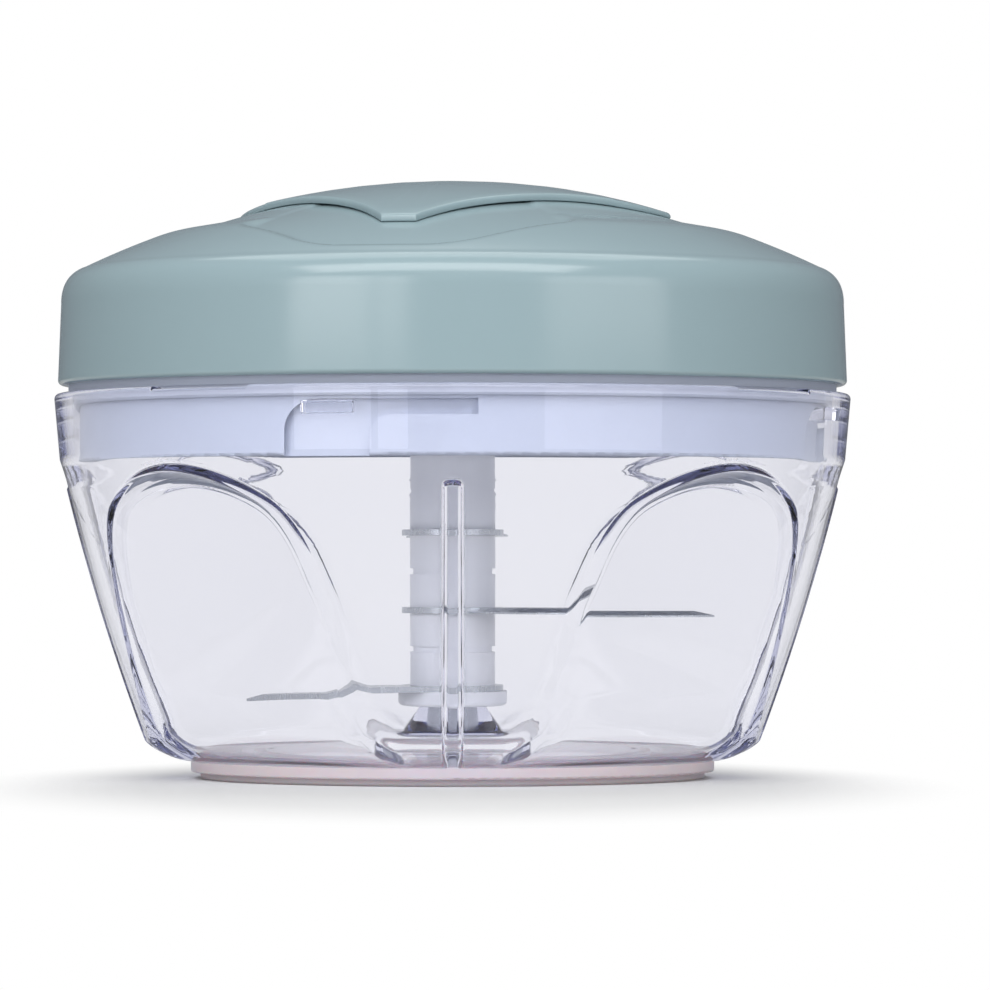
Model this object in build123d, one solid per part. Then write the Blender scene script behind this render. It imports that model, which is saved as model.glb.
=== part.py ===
from build123d import *
from math import asin, atan2, cos, degrees, dist, hypot, pi, radians, sin, sqrt, tan
import os

# Pull cord food chopper: a clear bowl with a bayonet collar and a rotor of three blades,
# closed by a domed lid that holds a cord reel, a recoil spring and a one way drive.
# Millimetres. Z is up, the origin is the middle of the foot ring on the table, and the front,
# where the long side of the slot in the collar shows, looks along minus Y.

# General fits
fit_gap = 0.05            # between pieces that are pressed or screwed together
running_gap = 0.06        # radial, between a shaft and its bore
float_gap = 0.1           # axial, between faces that turn on each other
air_gap = 0.3             # between pieces that only pass each other
past = 5.0                # overrun of a cut beyond the surface it opens
measuring_step = 0.5      # between the points on which a winding's gaps are measured
front_turn = -90.0        # degrees from the right hand side, where the front is

# Foot ring
foot_tread_height = 1.1
foot_tread_setback = 1.6
foot_ring_setback = 0.3             # inside the bowl's foot
foot_ring_width = 12.7
foot_round = 0.4

# Clear bowl
bowl_wall = 2.2
bowl_underside = 2.9
bowl_floor_level = 4.7
heel_radius = 50.4
heel_level = 6.1
heel_reach = 6.9                    # from the flat foot out to the heel
heel_shares = (0.60, 0.39)          # where the rounded heel passes, across and up
side_bulge = 0.6                    # how far the side stands out of a straight cone
rim_radius = 65.7
bowl_height = 63.3
rim_round = 0.9
collar_height = 10.9
collar_flare = 0.9                  # from the collar's foot out to the rim
collar_wall = 2.7                   # at the rim
step_height = 3.3
step_flare = 1.1
neck_height = 3.3                   # from the head of the side up to the step
neck_flare = 0.8
groove_rib_inset = 2.9              # from the foot ring's bore to the middle of the rib that holds it
groove_rib_width = 2.0
groove_rib_depth = 1.5

# Flat facets of the bowl, at 45 degrees to the front
facet_count = 4
facet_inset = 3.4                   # inside the heel, at facet_level
facet_level = 12.7
facet_lean = 20.45                  # degrees from upright
facet_top_rise = 1.8                # over the head of the bowl's side
facet_shoulder_drop = 6.1
facet_shoulder_half_width = 19.5
facet_bottom_half_width = 30.0
facet_shoulder_round = 9.0
facet_ramp_angle = 40.0             # degrees, the sloping edge round each facet
facet_depth = 14.0
facet_heel_reach = 11.0             # from the end of the facet's rounded heel out to the facet
facet_heel_shares = (0.63, 0.42)    # where the facet's rounded heel passes

# Upright ribs in the bowl wall, at the front, sides and back
rib_count = 4
rib_width = 2.7
rib_inner_depth = 1.5
rib_outer_depth = 0.4
rib_top_rise = 2.1                  # over the head of the bowl's side

# Bayonet lugs of the bowl and the slots of the lid
lug_count = 4
lug_width = 8.1
lug_drop = 4.45                     # from the bowl's rim to the lug's underside
lug_height = 1.75
lug_reach = 2.1                     # inwards from the wall of the collar
slot_play_below = 0.25
slot_play_above = 0.5
slot_floor_gap = 0.5                # between the lug's tip and the slot's floor
slot_mouth_left = -26.0             # seen from the front, across from the middle
slot_mouth_right = -12.8
slot_end = 3.95
slot_outer_round = 5.1
slot_inner_round = 3.6
rim_notch_depth = 0.4
rim_notch_width = 19.5
rim_notch_turn = -38.0

# Pivot of the blades
pin_radius = 3.0
pin_cover = 14.5                    # from the pin's top to the top of the hub's core
pin_seat_level = 5.6
pin_tip_round = 1.0
pin_boss_radius = 5.6
pin_boss_foot_radius = 7.6
pin_boss_level = 11.0

# Rotor with its three blades
hub_flange_radius = 9.0
hub_flange_height = 2.5
hub_core_radius = 4.7
hub_core_flat = 4.0                 # half the distance between the two flats
sleeve_radius = 7.0
sleeve_groove = 0.5
blade_thickness = 1.0
blade_eye_radius = 8.4
blade_gaps = (3.0, 5.5, 8.5)        # from the tips to the flat facets beside them
blade_turns = (215.0, 335.0, 95.0)  # degrees, from the right hand side
blade_root_half_width = 5.4
blade_edge_shares = (0.55, -0.235)  # where the cutting edge passes, along and across the reach
blade_back_shares = (0.60, 0.035)   # where the back passes
blade_tip_share = 0.085             # how far the tip is swept back
blade_bevel_width = 2.4
blade_bevel_depth = 0.7
hub_cap_height = 15.6
hub_cap_gap = 0.7                   # below the spindle's clip
hub_cap_round = 0.8
socket_depth = 6.4
socket_floor = 2.1
socket_radius = 4.7
socket_play = 25.0                  # degrees each way, so that the lid turns without the blades
tang_width = 8.4
tang_thickness = 2.6

# Lid base, the white piece that closes the bowl
skirt_gap = 1.3                     # between the skirt and the collar
skirt_wall = 2.2
skirt_height = 11.1
skirt_round = 0.6
base_floor_thickness = 2.0
flange_setback = 2.3                # inside the bowl's rim
flange_gap = 0.1                    # over the bowl's rim
flange_thickness = 1.3
locating_ring_wall = 1.6
locating_ring_height = 2.0
base_rib_count = 8
base_rib_width = 1.6
base_rib_height = 2.2
base_rib_gap = 4.9                  # to the locating ring
bearing_boss_radius = 9.5
bearing_drop = 4.2
bearing_rise = 2.3

# Seal between lid and bowl
gasket_width = 1.05
gasket_height = 1.8
gasket_lip = 0.35

# Lid cover, the coloured dome
cover_wall = 2.3
cover_setback = 0.6                 # inside the bowl's rim
cover_side_draft = 0.5
cover_shoulder_height = 2.4
cover_shoulder_draft = 0.3
cover_shoulder_shares = (0.288, 0.5425)     # where the shoulder's curve passes, inwards and up
dome_edge_inset = 3.3               # from the shoulder in to the edge of the dome
dome_edge_rise = 3.41               # from the shoulder up to the edge of the dome
cover_edge_round = 0.8
dome_flatter = 8.0                  # how much the dome's sphere is larger than the handle's
well_radius = 27.6
well_wall = 2.0
well_depth = 9.7
well_floor_thickness = 2.0
recess_margin = 3.2                 # from the handle's tips to the knee of the recess
recess_slope_width = 7.8
tongue_gap = 0.28                   # under the tip of the finger lip
tongue_margin = 3.6                 # to the edge of the dome
tongue_half_width = 12.0
tongue_root_half_width = 27.0
tongue_root_reach = 38.0
tongue_round = 3.0

# Pull handle, a lens with two finger lips
handle_turn = -11.0                 # degrees, where the front lip points
handle_dome_radius = 132.0
handle_stand = 0.5                  # over the top of the dome
handle_edge = 0.95
handle_shell = 1.9
handle_tip_reach = 36.0
handle_lip_reach = 44.8
handle_lip_half_width = 2.8
handle_waist_shares = ((0.203, 0.844), (0.422, 0.623), (0.694, 0.362), (0.930, 0.132))
handle_core_radius = 27.0
handle_core_wall = 1.5
handle_lift = 1.2                   # over the well's floor
handle_base_thickness = 1.8
handle_foot_radius = 2.0
handle_foot_count = 3
handle_foot_spread = 18.0
handle_screw_spread = 14.0
handle_boss_radius = 3.2

# Screws
screw_radius = 1.3
screw_head_radius = 2.7
screw_head_height = 1.3
screw_slot_width = 0.7
screw_slot_depth = 0.6
lid_screw_count = 4
lid_screw_inset = 15.7              # from the bowl's rim in to the screws
lid_screw_length = 10.0
lid_boss_radius = 3.7
handle_screw_length = 3.6

# Drive spindle and its bearing
spindle_radius = 5.0
bush_wall = 1.45
bush_flange_radius = 8.5
bush_flange_height = 0.8
spindle_disc_radius = 9.8
spindle_disc_height = 1.2
spindle_cup_radius = 7.6
spindle_cup_wall = 1.5
spindle_cup_height = 3.8
spindle_key_width = 2.0
clip_thickness = 0.7
clip_radius = 6.3
clip_groove_radius = 4.1
clip_opening = 70.0

# One way drive
pawl_count = 3
pawl_ring_wall = 1.6
pawl_height = 3.6
pawl_arm_radius = 11.2
pawl_arm_thickness = 0.8
pawl_start = 30.0                   # degrees, where the first finger's tip ends
pawl_arm_sweep = 78.0
pawl_root_sweep = 14.0
pawl_tip_radius = 12.9
pawl_tip_sweep = 9.0
ratchet_tooth_count = 18
ratchet_flat_share = 0.72           # of a tooth's pitch, before its ramp
ratchet_tip_radius = 12.5
ratchet_root_radius = 13.8
ratchet_height = 4.8

# Cord reel
reel_lift = 0.4                     # over the bush
reel_height = 16.2
reel_head_gap = 1.8                 # below the well
reel_flange_radius = 21.5
reel_top_flange_radius = 20.2
reel_flange_thickness = 1.2
drum_radius = 17.0
drum_inner_radius = 15.0
web_rise = 7.0
web_thickness = 1.4
reel_sleeve_radius = 6.0
reel_sleeve_drop = 2.2
spring_cover_thickness = 1.4
spring_cover_radius = 15.6
spring_cover_hole = 5.5
reel_window_count = 6
reel_window_radius = 1.6

# Axle of the reel
axle_radius = 3.5
axle_boss_radius = 6.0
axle_boss_drop = 1.2
axle_top_cover = 0.7
axle_screw_radius = 1.5
axle_screw_length = 8.0
axle_washer_radius = 5.4
axle_washer_thickness = 0.7
axle_slot_width = 0.8

# Recoil spring, a flat spiral
spring_start_radius = 4.4
spring_turns = 8
spring_pitch = 1.22
spring_thickness = 0.45
spring_height = 5.0
spring_lift = 0.6

# Cord
cord_diameter = 2.0
cord_turns = 4
cord_pitch = 2.5
cord_low_gap = 0.5
cord_elbow_radius = 6.0
cord_anchor_width = 3.0
cord_anchor_depth = 3.2
eyelet_distance = 23.2              # of the eyelet from the middle of the lid
eyelet_bore_radius = 1.4
eyelet_wall = 0.9
eyelet_flange_radius = 3.1
eyelet_flange_height = 0.5
guide_half_width = 3.0
guide_front = 2.4
guide_back = 4.4
guide_drop = 7.0
guide_channel_radius = 1.4
knot_radius = 2.0
knot_seat_share = 0.2               # height of the knot's middle above its seat, of its radius


# Radii that follow from the sizes above
bowl_foot_radius = heel_radius - heel_reach
facet_distance = heel_radius - facet_inset
facet_heel_distance = facet_distance - facet_heel_reach
collar_foot_radius = rim_radius - collar_flare
collar_inner_radius = rim_radius - collar_wall
step_radius = collar_foot_radius - step_flare
side_head_radius = step_radius - neck_flare
foot_ring_radius = bowl_foot_radius - foot_ring_setback
foot_tread_radius = foot_ring_radius - foot_tread_setback
foot_ring_inner_radius = foot_ring_radius - foot_ring_width
groove_rib_radius = foot_ring_inner_radius + groove_rib_inset
skirt_radius = collar_inner_radius - skirt_gap
slot_depth = skirt_radius - (collar_inner_radius - lug_reach - slot_floor_gap)
lug_turn = degrees(asin((slot_mouth_left + slot_mouth_right) / 2 / collar_inner_radius))
flange_radius = rim_radius - flange_setback
cover_bottom_radius = rim_radius - cover_setback
cover_side_radius = cover_bottom_radius - cover_side_draft
cover_shoulder_radius = cover_side_radius - cover_shoulder_draft
dome_edge_radius = cover_shoulder_radius - dome_edge_inset
locating_ring_radius = cover_bottom_radius - cover_wall - air_gap
base_rib_reach = locating_ring_radius - locating_ring_wall - base_rib_gap
lid_screw_circle = rim_radius - lid_screw_inset
recess_knee_radius = handle_tip_reach + recess_margin
recess_radius = recess_knee_radius + recess_slope_width
tongue_reach = dome_edge_radius - tongue_margin
dome_radius = handle_dome_radius + dome_flatter
bush_radius = spindle_radius + running_gap + bush_wall
bearing_bore = bush_radius + fit_gap
cord_radius = cord_diameter / 2
winding_radius = drum_radius + cord_radius + fit_gap

# Levels of the bowl
rim_level = bowl_height - rim_round
collar_foot_level = bowl_height - collar_height
step_level = collar_foot_level - step_height
side_head_level = step_level - neck_height
facet_top_level = side_head_level + facet_top_rise
facet_shoulder_level = facet_top_level - facet_shoulder_drop
rib_top_level = side_head_level + rib_top_rise
lug_low_level = bowl_height - lug_drop
slot_low_level = lug_low_level - slot_play_below
slot_height = slot_play_below + lug_height + slot_play_above
skirt_bottom_level = bowl_height - skirt_height

# Levels of the lid, from the rim up to the top of the handle
flange_underside = bowl_height + flange_gap
flange_top = flange_underside + flange_thickness
floor_underside = flange_top - base_floor_thickness
bearing_low_level = floor_underside - bearing_drop
bearing_top_level = flange_top + bearing_rise
bush_top = bearing_top_level + bush_flange_height
spindle_disc_bottom = bush_top + float_gap
spindle_disc_top = spindle_disc_bottom + spindle_disc_height
reel_bottom_level = bush_top + reel_lift
reel_top_level = reel_bottom_level + reel_height
drum_groove_bottom = reel_bottom_level + reel_flange_thickness
web_level = reel_bottom_level + web_rise
sleeve_bottom_level = web_level - reel_sleeve_drop
washer_top_level = sleeve_bottom_level - float_gap
winding_low = drum_groove_bottom + cord_low_gap + cord_radius
winding_high = winding_low + cord_turns * cord_pitch
well_underside = reel_top_level + reel_head_gap
well_floor_level = well_underside + well_floor_thickness
axle_top_level = well_floor_level - axle_top_cover
eyelet_top = well_floor_level + eyelet_flange_height
dome_apex = well_floor_level + well_depth
dome_centre = dome_apex - dome_radius
dome_edge_level = dome_centre + sqrt(dome_radius ** 2 - dome_edge_radius ** 2)
cover_shoulder_level = dome_edge_level - dome_edge_rise
cover_side_level = cover_shoulder_level - cover_shoulder_height
handle_apex = dome_apex + handle_stand
handle_centre = handle_apex - handle_dome_radius
handle_floor_level = well_floor_level + handle_lift
handle_base_top = handle_floor_level + handle_base_thickness

# Levels and reaches of the rotor, between its pin and the lid's spindle
rotor_bottom_level = pin_boss_level + float_gap
lower_blade_level = rotor_bottom_level + hub_flange_height
hub_cap_level = bearing_low_level - float_gap - clip_thickness - hub_cap_gap
hub_cap_bottom = hub_cap_level - hub_cap_height
hub_core_level = hub_cap_level - socket_depth - socket_floor
pin_top_level = hub_core_level - pin_cover
blade_step = (hub_cap_bottom - blade_thickness - lower_blade_level) / 2
blade_levels = [lower_blade_level + blade_step * k for k in range(3)]
facet_inner_distance = facet_distance - bowl_wall / cos(radians(facet_lean))
facet_reaches = [facet_inner_distance + (level - facet_level) * tan(radians(facet_lean)) for level in blade_levels]
blade_reaches = [reach - gap for reach, gap in zip(facet_reaches, blade_gaps)]


# Helpers for outlines and solids of revolution
def outline(*steps):
    """Close a flat outline; a step is a point, or a pair of a point to pass and an end."""
    here = steps[0]
    lines = Curve()
    for step in steps[1:] + (steps[0],):
        if isinstance(step[0], tuple):
            lines += ThreePointArc(here, step[0], step[1])
            here = step[1]
        else:
            if hypot(step[0] - here[0], step[1] - here[1]) > 0:
                lines += Line(here, step)
            here = step
    return make_face(lines)


def rounded(face, corners, radius):
    """Round the corners of a flat face that lie nearest to the points given."""
    for corner in corners:
        place = Vector(corner[0], corner[1], 0)
        nearest = sorted(face.vertices(), key=lambda v: (v.center() - place).length)[0]
        face = fillet(nearest, radius)
    return face


def turned(face):
    """Revolve a flat face, drawn with radius across and level up, about the upright axis."""
    return revolve(Plane.XZ * face, Axis.Z)


def disc(radius, low, high):
    """Upright cylinder on the axis between two levels."""
    return Pos(0, 0, low) * Cylinder(radius, high - low, align=(Align.CENTER, Align.CENTER, Align.MIN))


def ring(outer, inner, low, high):
    """Upright tube on the axis between two levels."""
    return disc(outer, low, high) - disc(inner, low - past, high + past)


def slab(width, depth, low, high):
    """Upright block on the axis between two levels."""
    return Pos(0, 0, low) * Box(width, depth, high - low, align=(Align.CENTER, Align.CENTER, Align.MIN))


def ball(radius, level):
    """Sphere on the axis with its centre at a level."""
    return Pos(0, 0, level) * Sphere(radius)


def around(solid, count, start=0.0):
    """Copies of a solid spread evenly about the axis."""
    return [Rot(0, 0, start + 360.0 / count * k) * solid for k in range(count)]


def dome_level(radius, sphere_radius=dome_radius, centre=dome_centre):
    """Level of a sphere's surface at a distance from the axis."""
    return centre + sqrt(sphere_radius ** 2 - radius ** 2)


def least_gap(wire, thickness, least_radius):
    """Least clear way from a wound piece to itself, measured on points along its middle."""
    count = round(wire.length / measuring_step)
    skip = round(pi * least_radius / measuring_step)
    points = [tuple(wire @ (k / count)) for k in range(count + 1)]
    ways = [dist(points[a], points[b]) for a in range(count) for b in range(a + skip, count + 1)]
    return round(min(ways) - thickness, 2)


def save(name, *solids):
    """Write the solids of one node to its own file."""
    shape = solids[0] if len(solids) == 1 else Compound(children=list(solids))
    shape.label = name
    export_step(shape, os.path.join("parts", name + ".step"))


# Clear bowl
def side_points(offset, top):
    """Heel, middle and head of the bowl's side, moved outwards by an offset."""
    low = (heel_radius + offset, heel_level)
    middle = (
        (heel_radius + side_head_radius) / 2 + side_bulge + offset,
        (heel_level + side_head_level) / 2,
    )
    share = (top - side_head_level) / (step_level - side_head_level)
    head = (side_head_radius + share * (step_radius - side_head_radius) + offset, top)
    return low, middle, head


def facet_cutter(inset):
    """Waste outside one flat facet that faces along X, moved inwards by an inset."""
    lean = radians(facet_lean)
    start = (facet_distance - inset * cos(lean), facet_level + inset * sin(lean))
    heel_end = (facet_heel_distance, bowl_underside if inset == 0 else bowl_floor_level)
    via = (
        heel_end[0] + facet_heel_shares[0] * (start[0] - heel_end[0]),
        heel_end[1] + facet_heel_shares[1] * (start[1] - heel_end[1]),
    )
    rise = bowl_height - start[1]
    head = (start[0] + rise * sin(lean) / cos(lean), bowl_height)
    far = head[0] + past
    side = outline(start, head, (far, bowl_height), (far, -past), (heel_end[0], -past), heel_end, (via, start))
    side_prism = extrude(Plane.XZ * side, amount=facet_bottom_half_width + past, both=True)
    plane = Plane(
        origin=(start[0], 0, start[1]),
        x_dir=(0, 1, 0),
        z_dir=(cos(lean), 0, -sin(lean)),
    )
    ramp = radians(facet_ramp_angle)
    grow = inset * (1 - sin(ramp)) / cos(ramp)

    def up(level):
        return (level - start[1]) / cos(lean)

    shoulder = facet_shoulder_half_width + grow
    bottom = facet_bottom_half_width + grow
    left = (-shoulder, up(facet_shoulder_level))
    right = (shoulder, up(facet_shoulder_level))
    top = (0, up(facet_top_level) + grow)
    arch = outline((-bottom, up(-past)), left, (top, right), (bottom, up(-past)))
    arch = rounded(arch, (left, right), facet_shoulder_round)
    outward = extrude(plane * arch, amount=facet_depth, taper=-facet_ramp_angle)
    inward = extrude(plane * arch, amount=-2 * facet_depth)
    return (outward + inward) & side_prism


def make_bowl():
    low, middle, head = side_points(0, side_head_level)
    heel_via = (
        bowl_foot_radius + heel_shares[0] * (heel_radius - bowl_foot_radius),
        bowl_underside + heel_shares[1] * (heel_level - bowl_underside),
    )
    rim_top_radius = rim_radius - rim_round
    rim_via = (rim_radius - rim_round * (1 - sin(pi / 4)), rim_level + (bowl_height - rim_level) * sin(pi / 4))
    outer = turned(outline(
        (0, bowl_underside),
        (bowl_foot_radius, bowl_underside),
        (heel_via, low),
        (middle, head),
        (step_radius, step_level),
        (collar_foot_radius, collar_foot_level),
        (rim_radius, rim_level),
        (rim_via, (rim_top_radius, bowl_height)),
        (0, bowl_height),
    ))
    low, middle, head = side_points(-bowl_wall, side_head_level)
    inner_foot = (bowl_foot_radius - bowl_wall, bowl_floor_level)
    inner_via = (
        inner_foot[0] + heel_shares[0] * (low[0] - inner_foot[0]),
        inner_foot[1] + heel_shares[1] * (heel_level + bowl_wall - bowl_floor_level),
    )
    low = (low[0], heel_level + bowl_wall)
    inner = turned(outline(
        (0, bowl_floor_level),
        inner_foot,
        (inner_via, low),
        (middle, head),
        (step_radius - bowl_wall, step_level),
        (collar_inner_radius, collar_foot_level),
        (collar_inner_radius, bowl_height + past),
        (0, bowl_height + past),
    ))
    half_turn = 180.0 / facet_count
    bowl = outer
    cavity = inner
    for cutter in around(facet_cutter(0), facet_count, half_turn):
        bowl -= cutter
    for cutter in around(facet_cutter(bowl_wall), facet_count, half_turn):
        cavity -= cutter
    bowl -= cavity
    low, middle, head = side_points(rib_outer_depth, rib_top_level)
    low_in, middle_in, head_in = side_points(-bowl_wall - rib_inner_depth, rib_top_level)
    rib_heel_via = (heel_via[0] + rib_outer_depth / 2, heel_via[1])
    band = turned(outline(
        (bowl_foot_radius, bowl_underside),
        (rib_heel_via, low),
        (middle, head),
        head_in,
        (middle_in, low_in),
    ))
    rib = band & Pos(rim_radius / 2, 0, bowl_height / 2) * Box(rim_radius, rib_width, bowl_height)
    for copy in around(rib, rib_count):
        bowl += copy
    lug_middle = lug_low_level + lug_height / 2
    lug_long = lug_reach + bowl_wall / 2
    lug_place = collar_inner_radius - lug_reach + lug_long / 2
    lug = Pos(lug_place, 0, lug_middle) * Box(lug_long, lug_width, lug_height)
    for copy in around(lug, lug_count, front_turn + lug_turn):
        bowl += copy
    bowl += ring(
        groove_rib_radius + groove_rib_width / 2,
        groove_rib_radius - groove_rib_width / 2,
        bowl_underside - groove_rib_depth,
        (bowl_underside + bowl_floor_level) / 2,
    )
    bowl += turned(outline(
        (0, (bowl_underside + bowl_floor_level) / 2),
        (pin_boss_foot_radius, (bowl_underside + bowl_floor_level) / 2),
        (pin_boss_foot_radius, bowl_floor_level),
        (pin_boss_radius, pin_boss_level),
        (0, pin_boss_level),
    ))
    bowl -= disc(pin_radius + fit_gap, pin_seat_level, pin_boss_level + past)
    notch = Pos(rim_radius, 0, bowl_height) * Box(4 * bowl_wall, rim_notch_width, 2 * rim_notch_depth)
    for copy in around(notch, lug_count, front_turn + rim_notch_turn):
        bowl -= copy
    return bowl


def make_base_ring():
    low = bowl_underside - groove_rib_depth - fit_gap
    ring_face = outline(
        (foot_ring_inner_radius, 0),
        (foot_tread_radius, 0),
        (foot_tread_radius, foot_tread_height),
        (foot_ring_radius, foot_tread_height),
        (foot_ring_radius, bowl_underside),
        (foot_ring_inner_radius, bowl_underside),
    )
    ring_face = rounded(ring_face, ((foot_tread_radius, 0), (foot_ring_radius, foot_tread_height)), foot_round)
    groove = ring(
        groove_rib_radius + groove_rib_width / 2 + fit_gap,
        groove_rib_radius - groove_rib_width / 2 - fit_gap,
        low,
        bowl_underside + past,
    )
    return turned(ring_face) - groove


def make_pivot_pin():
    pin = disc(pin_radius, pin_seat_level, pin_top_level)
    return chamfer(pin.edges().group_by(Axis.Z)[-1], pin_tip_round)


# Rotor
def flatted(radius, flat, low, high):
    """Round bar with two flats along X, used for the core and the holes that fit it."""
    return disc(radius, low, high) & slab(2 * radius, 2 * flat, low, high)


def make_blade_hub():
    core = disc(hub_flange_radius, rotor_bottom_level, lower_blade_level)
    core = fillet(core.edges().group_by(Axis.Z)[0], hub_flange_height / 3)
    core += flatted(hub_core_radius, hub_core_flat, lower_blade_level, hub_core_level)
    bore_top = pin_top_level + float_gap
    return core - disc(pin_radius + running_gap, rotor_bottom_level - past, bore_top)


def make_blade(index):
    """Curved blade with a flat eye on the core and a ground cutting edge."""
    level = blade_levels[index]
    reach = blade_reaches[index]
    root = (hub_core_radius, -blade_root_half_width)
    tip = (reach, blade_tip_share * reach)
    heel = (hub_core_radius, blade_root_half_width)
    edge_via = (blade_edge_shares[0] * reach, blade_edge_shares[1] * reach)
    back_via = (blade_back_shares[0] * reach, blade_back_shares[1] * reach)
    leaf = extrude(outline(root, (edge_via, tip), (back_via, heel)), amount=blade_thickness)
    mark = Vector(edge_via[0], edge_via[1], blade_thickness)
    cutting = leaf.edges().sort_by(lambda edge: (edge @ 0.5 - mark).length)[0]
    face = leaf.faces().sort_by(Axis.Z)[-1]
    leaf = chamfer(cutting, blade_bevel_width, blade_bevel_depth, reference=face)
    blade = Pos(0, 0, level) * leaf + disc(blade_eye_radius, level, level + blade_thickness)
    blade = Rot(0, 0, blade_turns[index]) * blade
    return blade - flatted(hub_core_radius + fit_gap, hub_core_flat + fit_gap, level - past, level + past)


def make_sleeve(index):
    """Spacer between two blades, with a shallow groove at its middle."""
    low = blade_levels[index] + blade_thickness
    high = blade_levels[index + 1]
    middle = (low + high) / 2
    sleeve = ring(sleeve_radius, hub_core_radius + fit_gap, low, high)
    groove = ring(sleeve_radius + past, sleeve_radius - sleeve_groove, middle - sleeve_groove, middle + sleeve_groove)
    return sleeve - groove


def make_hub_cap():
    """Cap with a socket whose walls leave the drive tang free play each way."""
    cap = disc(sleeve_radius, hub_cap_bottom, hub_cap_level)
    cap = fillet(cap.edges().group_by(Axis.Z)[-1], hub_cap_round)
    cap -= flatted(hub_core_radius + fit_gap, hub_core_flat + fit_gap, hub_cap_bottom - past, hub_core_level + fit_gap)
    low = hub_cap_level - socket_depth
    tang_space = slab(2 * socket_radius, tang_thickness + 2 * air_gap, low, hub_cap_level + past)
    socket = disc(tang_thickness, low, hub_cap_level + past)
    steps = 4
    for k in range(-steps, steps + 1):
        socket += Rot(0, 0, socket_play * k / steps) * tang_space
    socket = socket & disc(socket_radius, low, hub_cap_level + past)
    return cap - socket


# Lid base
def slot_cutter():
    """Waste of the bayonet slot at the front, drawn as the front shows it."""
    high = slot_low_level + slot_height
    low = skirt_bottom_level - past
    face = outline(
        (slot_mouth_left, low),
        (slot_mouth_right, low),
        (slot_mouth_right, slot_low_level),
        (slot_end, slot_low_level),
        (slot_end, high),
        (slot_mouth_left, high),
    )
    face = rounded(face, ((slot_mouth_left, high),), slot_outer_round)
    face = rounded(face, ((slot_mouth_right, slot_low_level),), slot_inner_round)
    prism = extrude(Plane.XZ * face, amount=skirt_radius + past)
    return prism - disc(skirt_radius - slot_depth, low - past, high + past)


def make_lid_base():
    skirt_inner = skirt_radius - skirt_wall
    ring_low = skirt_bottom_level
    shell = outline(
        (0, floor_underside),
        (skirt_inner, floor_underside),
        (skirt_inner, ring_low),
        (skirt_radius, ring_low),
        (skirt_radius, flange_underside),
        (flange_radius, flange_underside),
        (flange_radius, flange_top),
        (0, flange_top),
    )
    shell = rounded(shell, ((skirt_radius, ring_low), (skirt_inner, ring_low)), skirt_round)
    base = turned(shell)
    ring_top = flange_top + locating_ring_height
    base += ring(locating_ring_radius, locating_ring_radius - locating_ring_wall, flange_top, ring_top)
    rib_long = base_rib_reach - bearing_bore
    rib_place = (base_rib_reach + bearing_bore) / 2
    rib_low = (floor_underside + flange_top) / 2
    rib = Pos(rib_place, 0, 0) * slab(rib_long, base_rib_width, rib_low, flange_top + base_rib_height)
    for copy in around(rib, base_rib_count, 180.0 / base_rib_count):
        base += copy
    base += disc(bearing_boss_radius, bearing_low_level, bearing_top_level)
    base -= disc(bearing_bore, bearing_low_level - past, bearing_top_level + past)
    for cutter in around(slot_cutter(), lug_count):
        base -= cutter
    hole = Pos(lid_screw_circle, 0, 0) * disc(screw_radius + air_gap, floor_underside - past, flange_top + past)
    for copy in around(hole, lid_screw_count, 180.0 / lid_screw_count):
        base -= copy
    return base


def make_lid_gasket():
    inner = skirt_radius + float_gap
    outer = inner + gasket_width
    low = flange_underside - gasket_height
    face = outline(
        (inner, low),
        (outer - gasket_lip, low),
        (outer, low + gasket_lip),
        (outer, flange_underside),
        (inner, flange_underside),
    )
    return turned(face)


# Lid cover
def handle_outline():
    """Plan of the handle: two tips and two finger lips, the front lip along minus Y."""
    reach = handle_lip_reach
    lip = handle_lip_half_width
    waist = [(x * handle_tip_reach, -y * reach) for x, y in handle_waist_shares]
    quarter = [(lip, -reach)] + waist + [(handle_tip_reach, 0)]
    curves = Curve()
    for side_x, side_y in ((1, 1), (-1, 1), (-1, -1), (1, -1)):
        points = [(side_x * x, side_y * y) for x, y in quarter]
        curves += Spline(points)
    curves += Line((-lip, -reach), (lip, -reach))
    curves += Line((-lip, reach), (lip, reach))
    return make_face(curves)


def recess_face():
    """Section of the shallow recess round the handle, between the dome and its floor."""
    well_edge = well_radius
    handle_low = handle_apex - handle_edge - air_gap
    floor_radius = handle_dome_radius - handle_edge - air_gap
    centre = handle_low - floor_radius
    knee = (recess_knee_radius, dome_level(recess_knee_radius, floor_radius, centre))
    middle_radius = (well_edge + recess_knee_radius) / 2
    middle = (middle_radius, dome_level(middle_radius, floor_radius, centre))
    start = (well_edge - well_wall / 2, dome_level(well_edge - well_wall / 2, floor_radius, centre))
    return outline(
        start,
        (middle, knee),
        (recess_radius, dome_level(recess_radius)),
        (recess_radius, dome_apex + past),
        (start[0], dome_apex + past),
    )


def tongue_cutter():
    """Waste of the shallow finger tongue under the front lip."""
    corner = (tongue_half_width, -sqrt(tongue_reach ** 2 - tongue_half_width ** 2))
    root = (tongue_root_half_width, -tongue_root_reach)
    face = outline(
        (-corner[0], corner[1]),
        ((0, -tongue_reach), corner),
        root,
        (0, 0),
        (-root[0], root[1]),
    )
    face = rounded(face, (corner, (-corner[0], corner[1])), tongue_round)
    prism = Pos(0, 0, well_underside) * extrude(face, amount=dome_apex)
    lip_underside = dome_level(handle_lip_reach, handle_dome_radius - handle_edge, handle_centre)
    floor_radius = hypot(handle_lip_reach, lip_underside - tongue_gap - dome_centre)
    return prism - ball(floor_radius, dome_centre)


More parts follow.
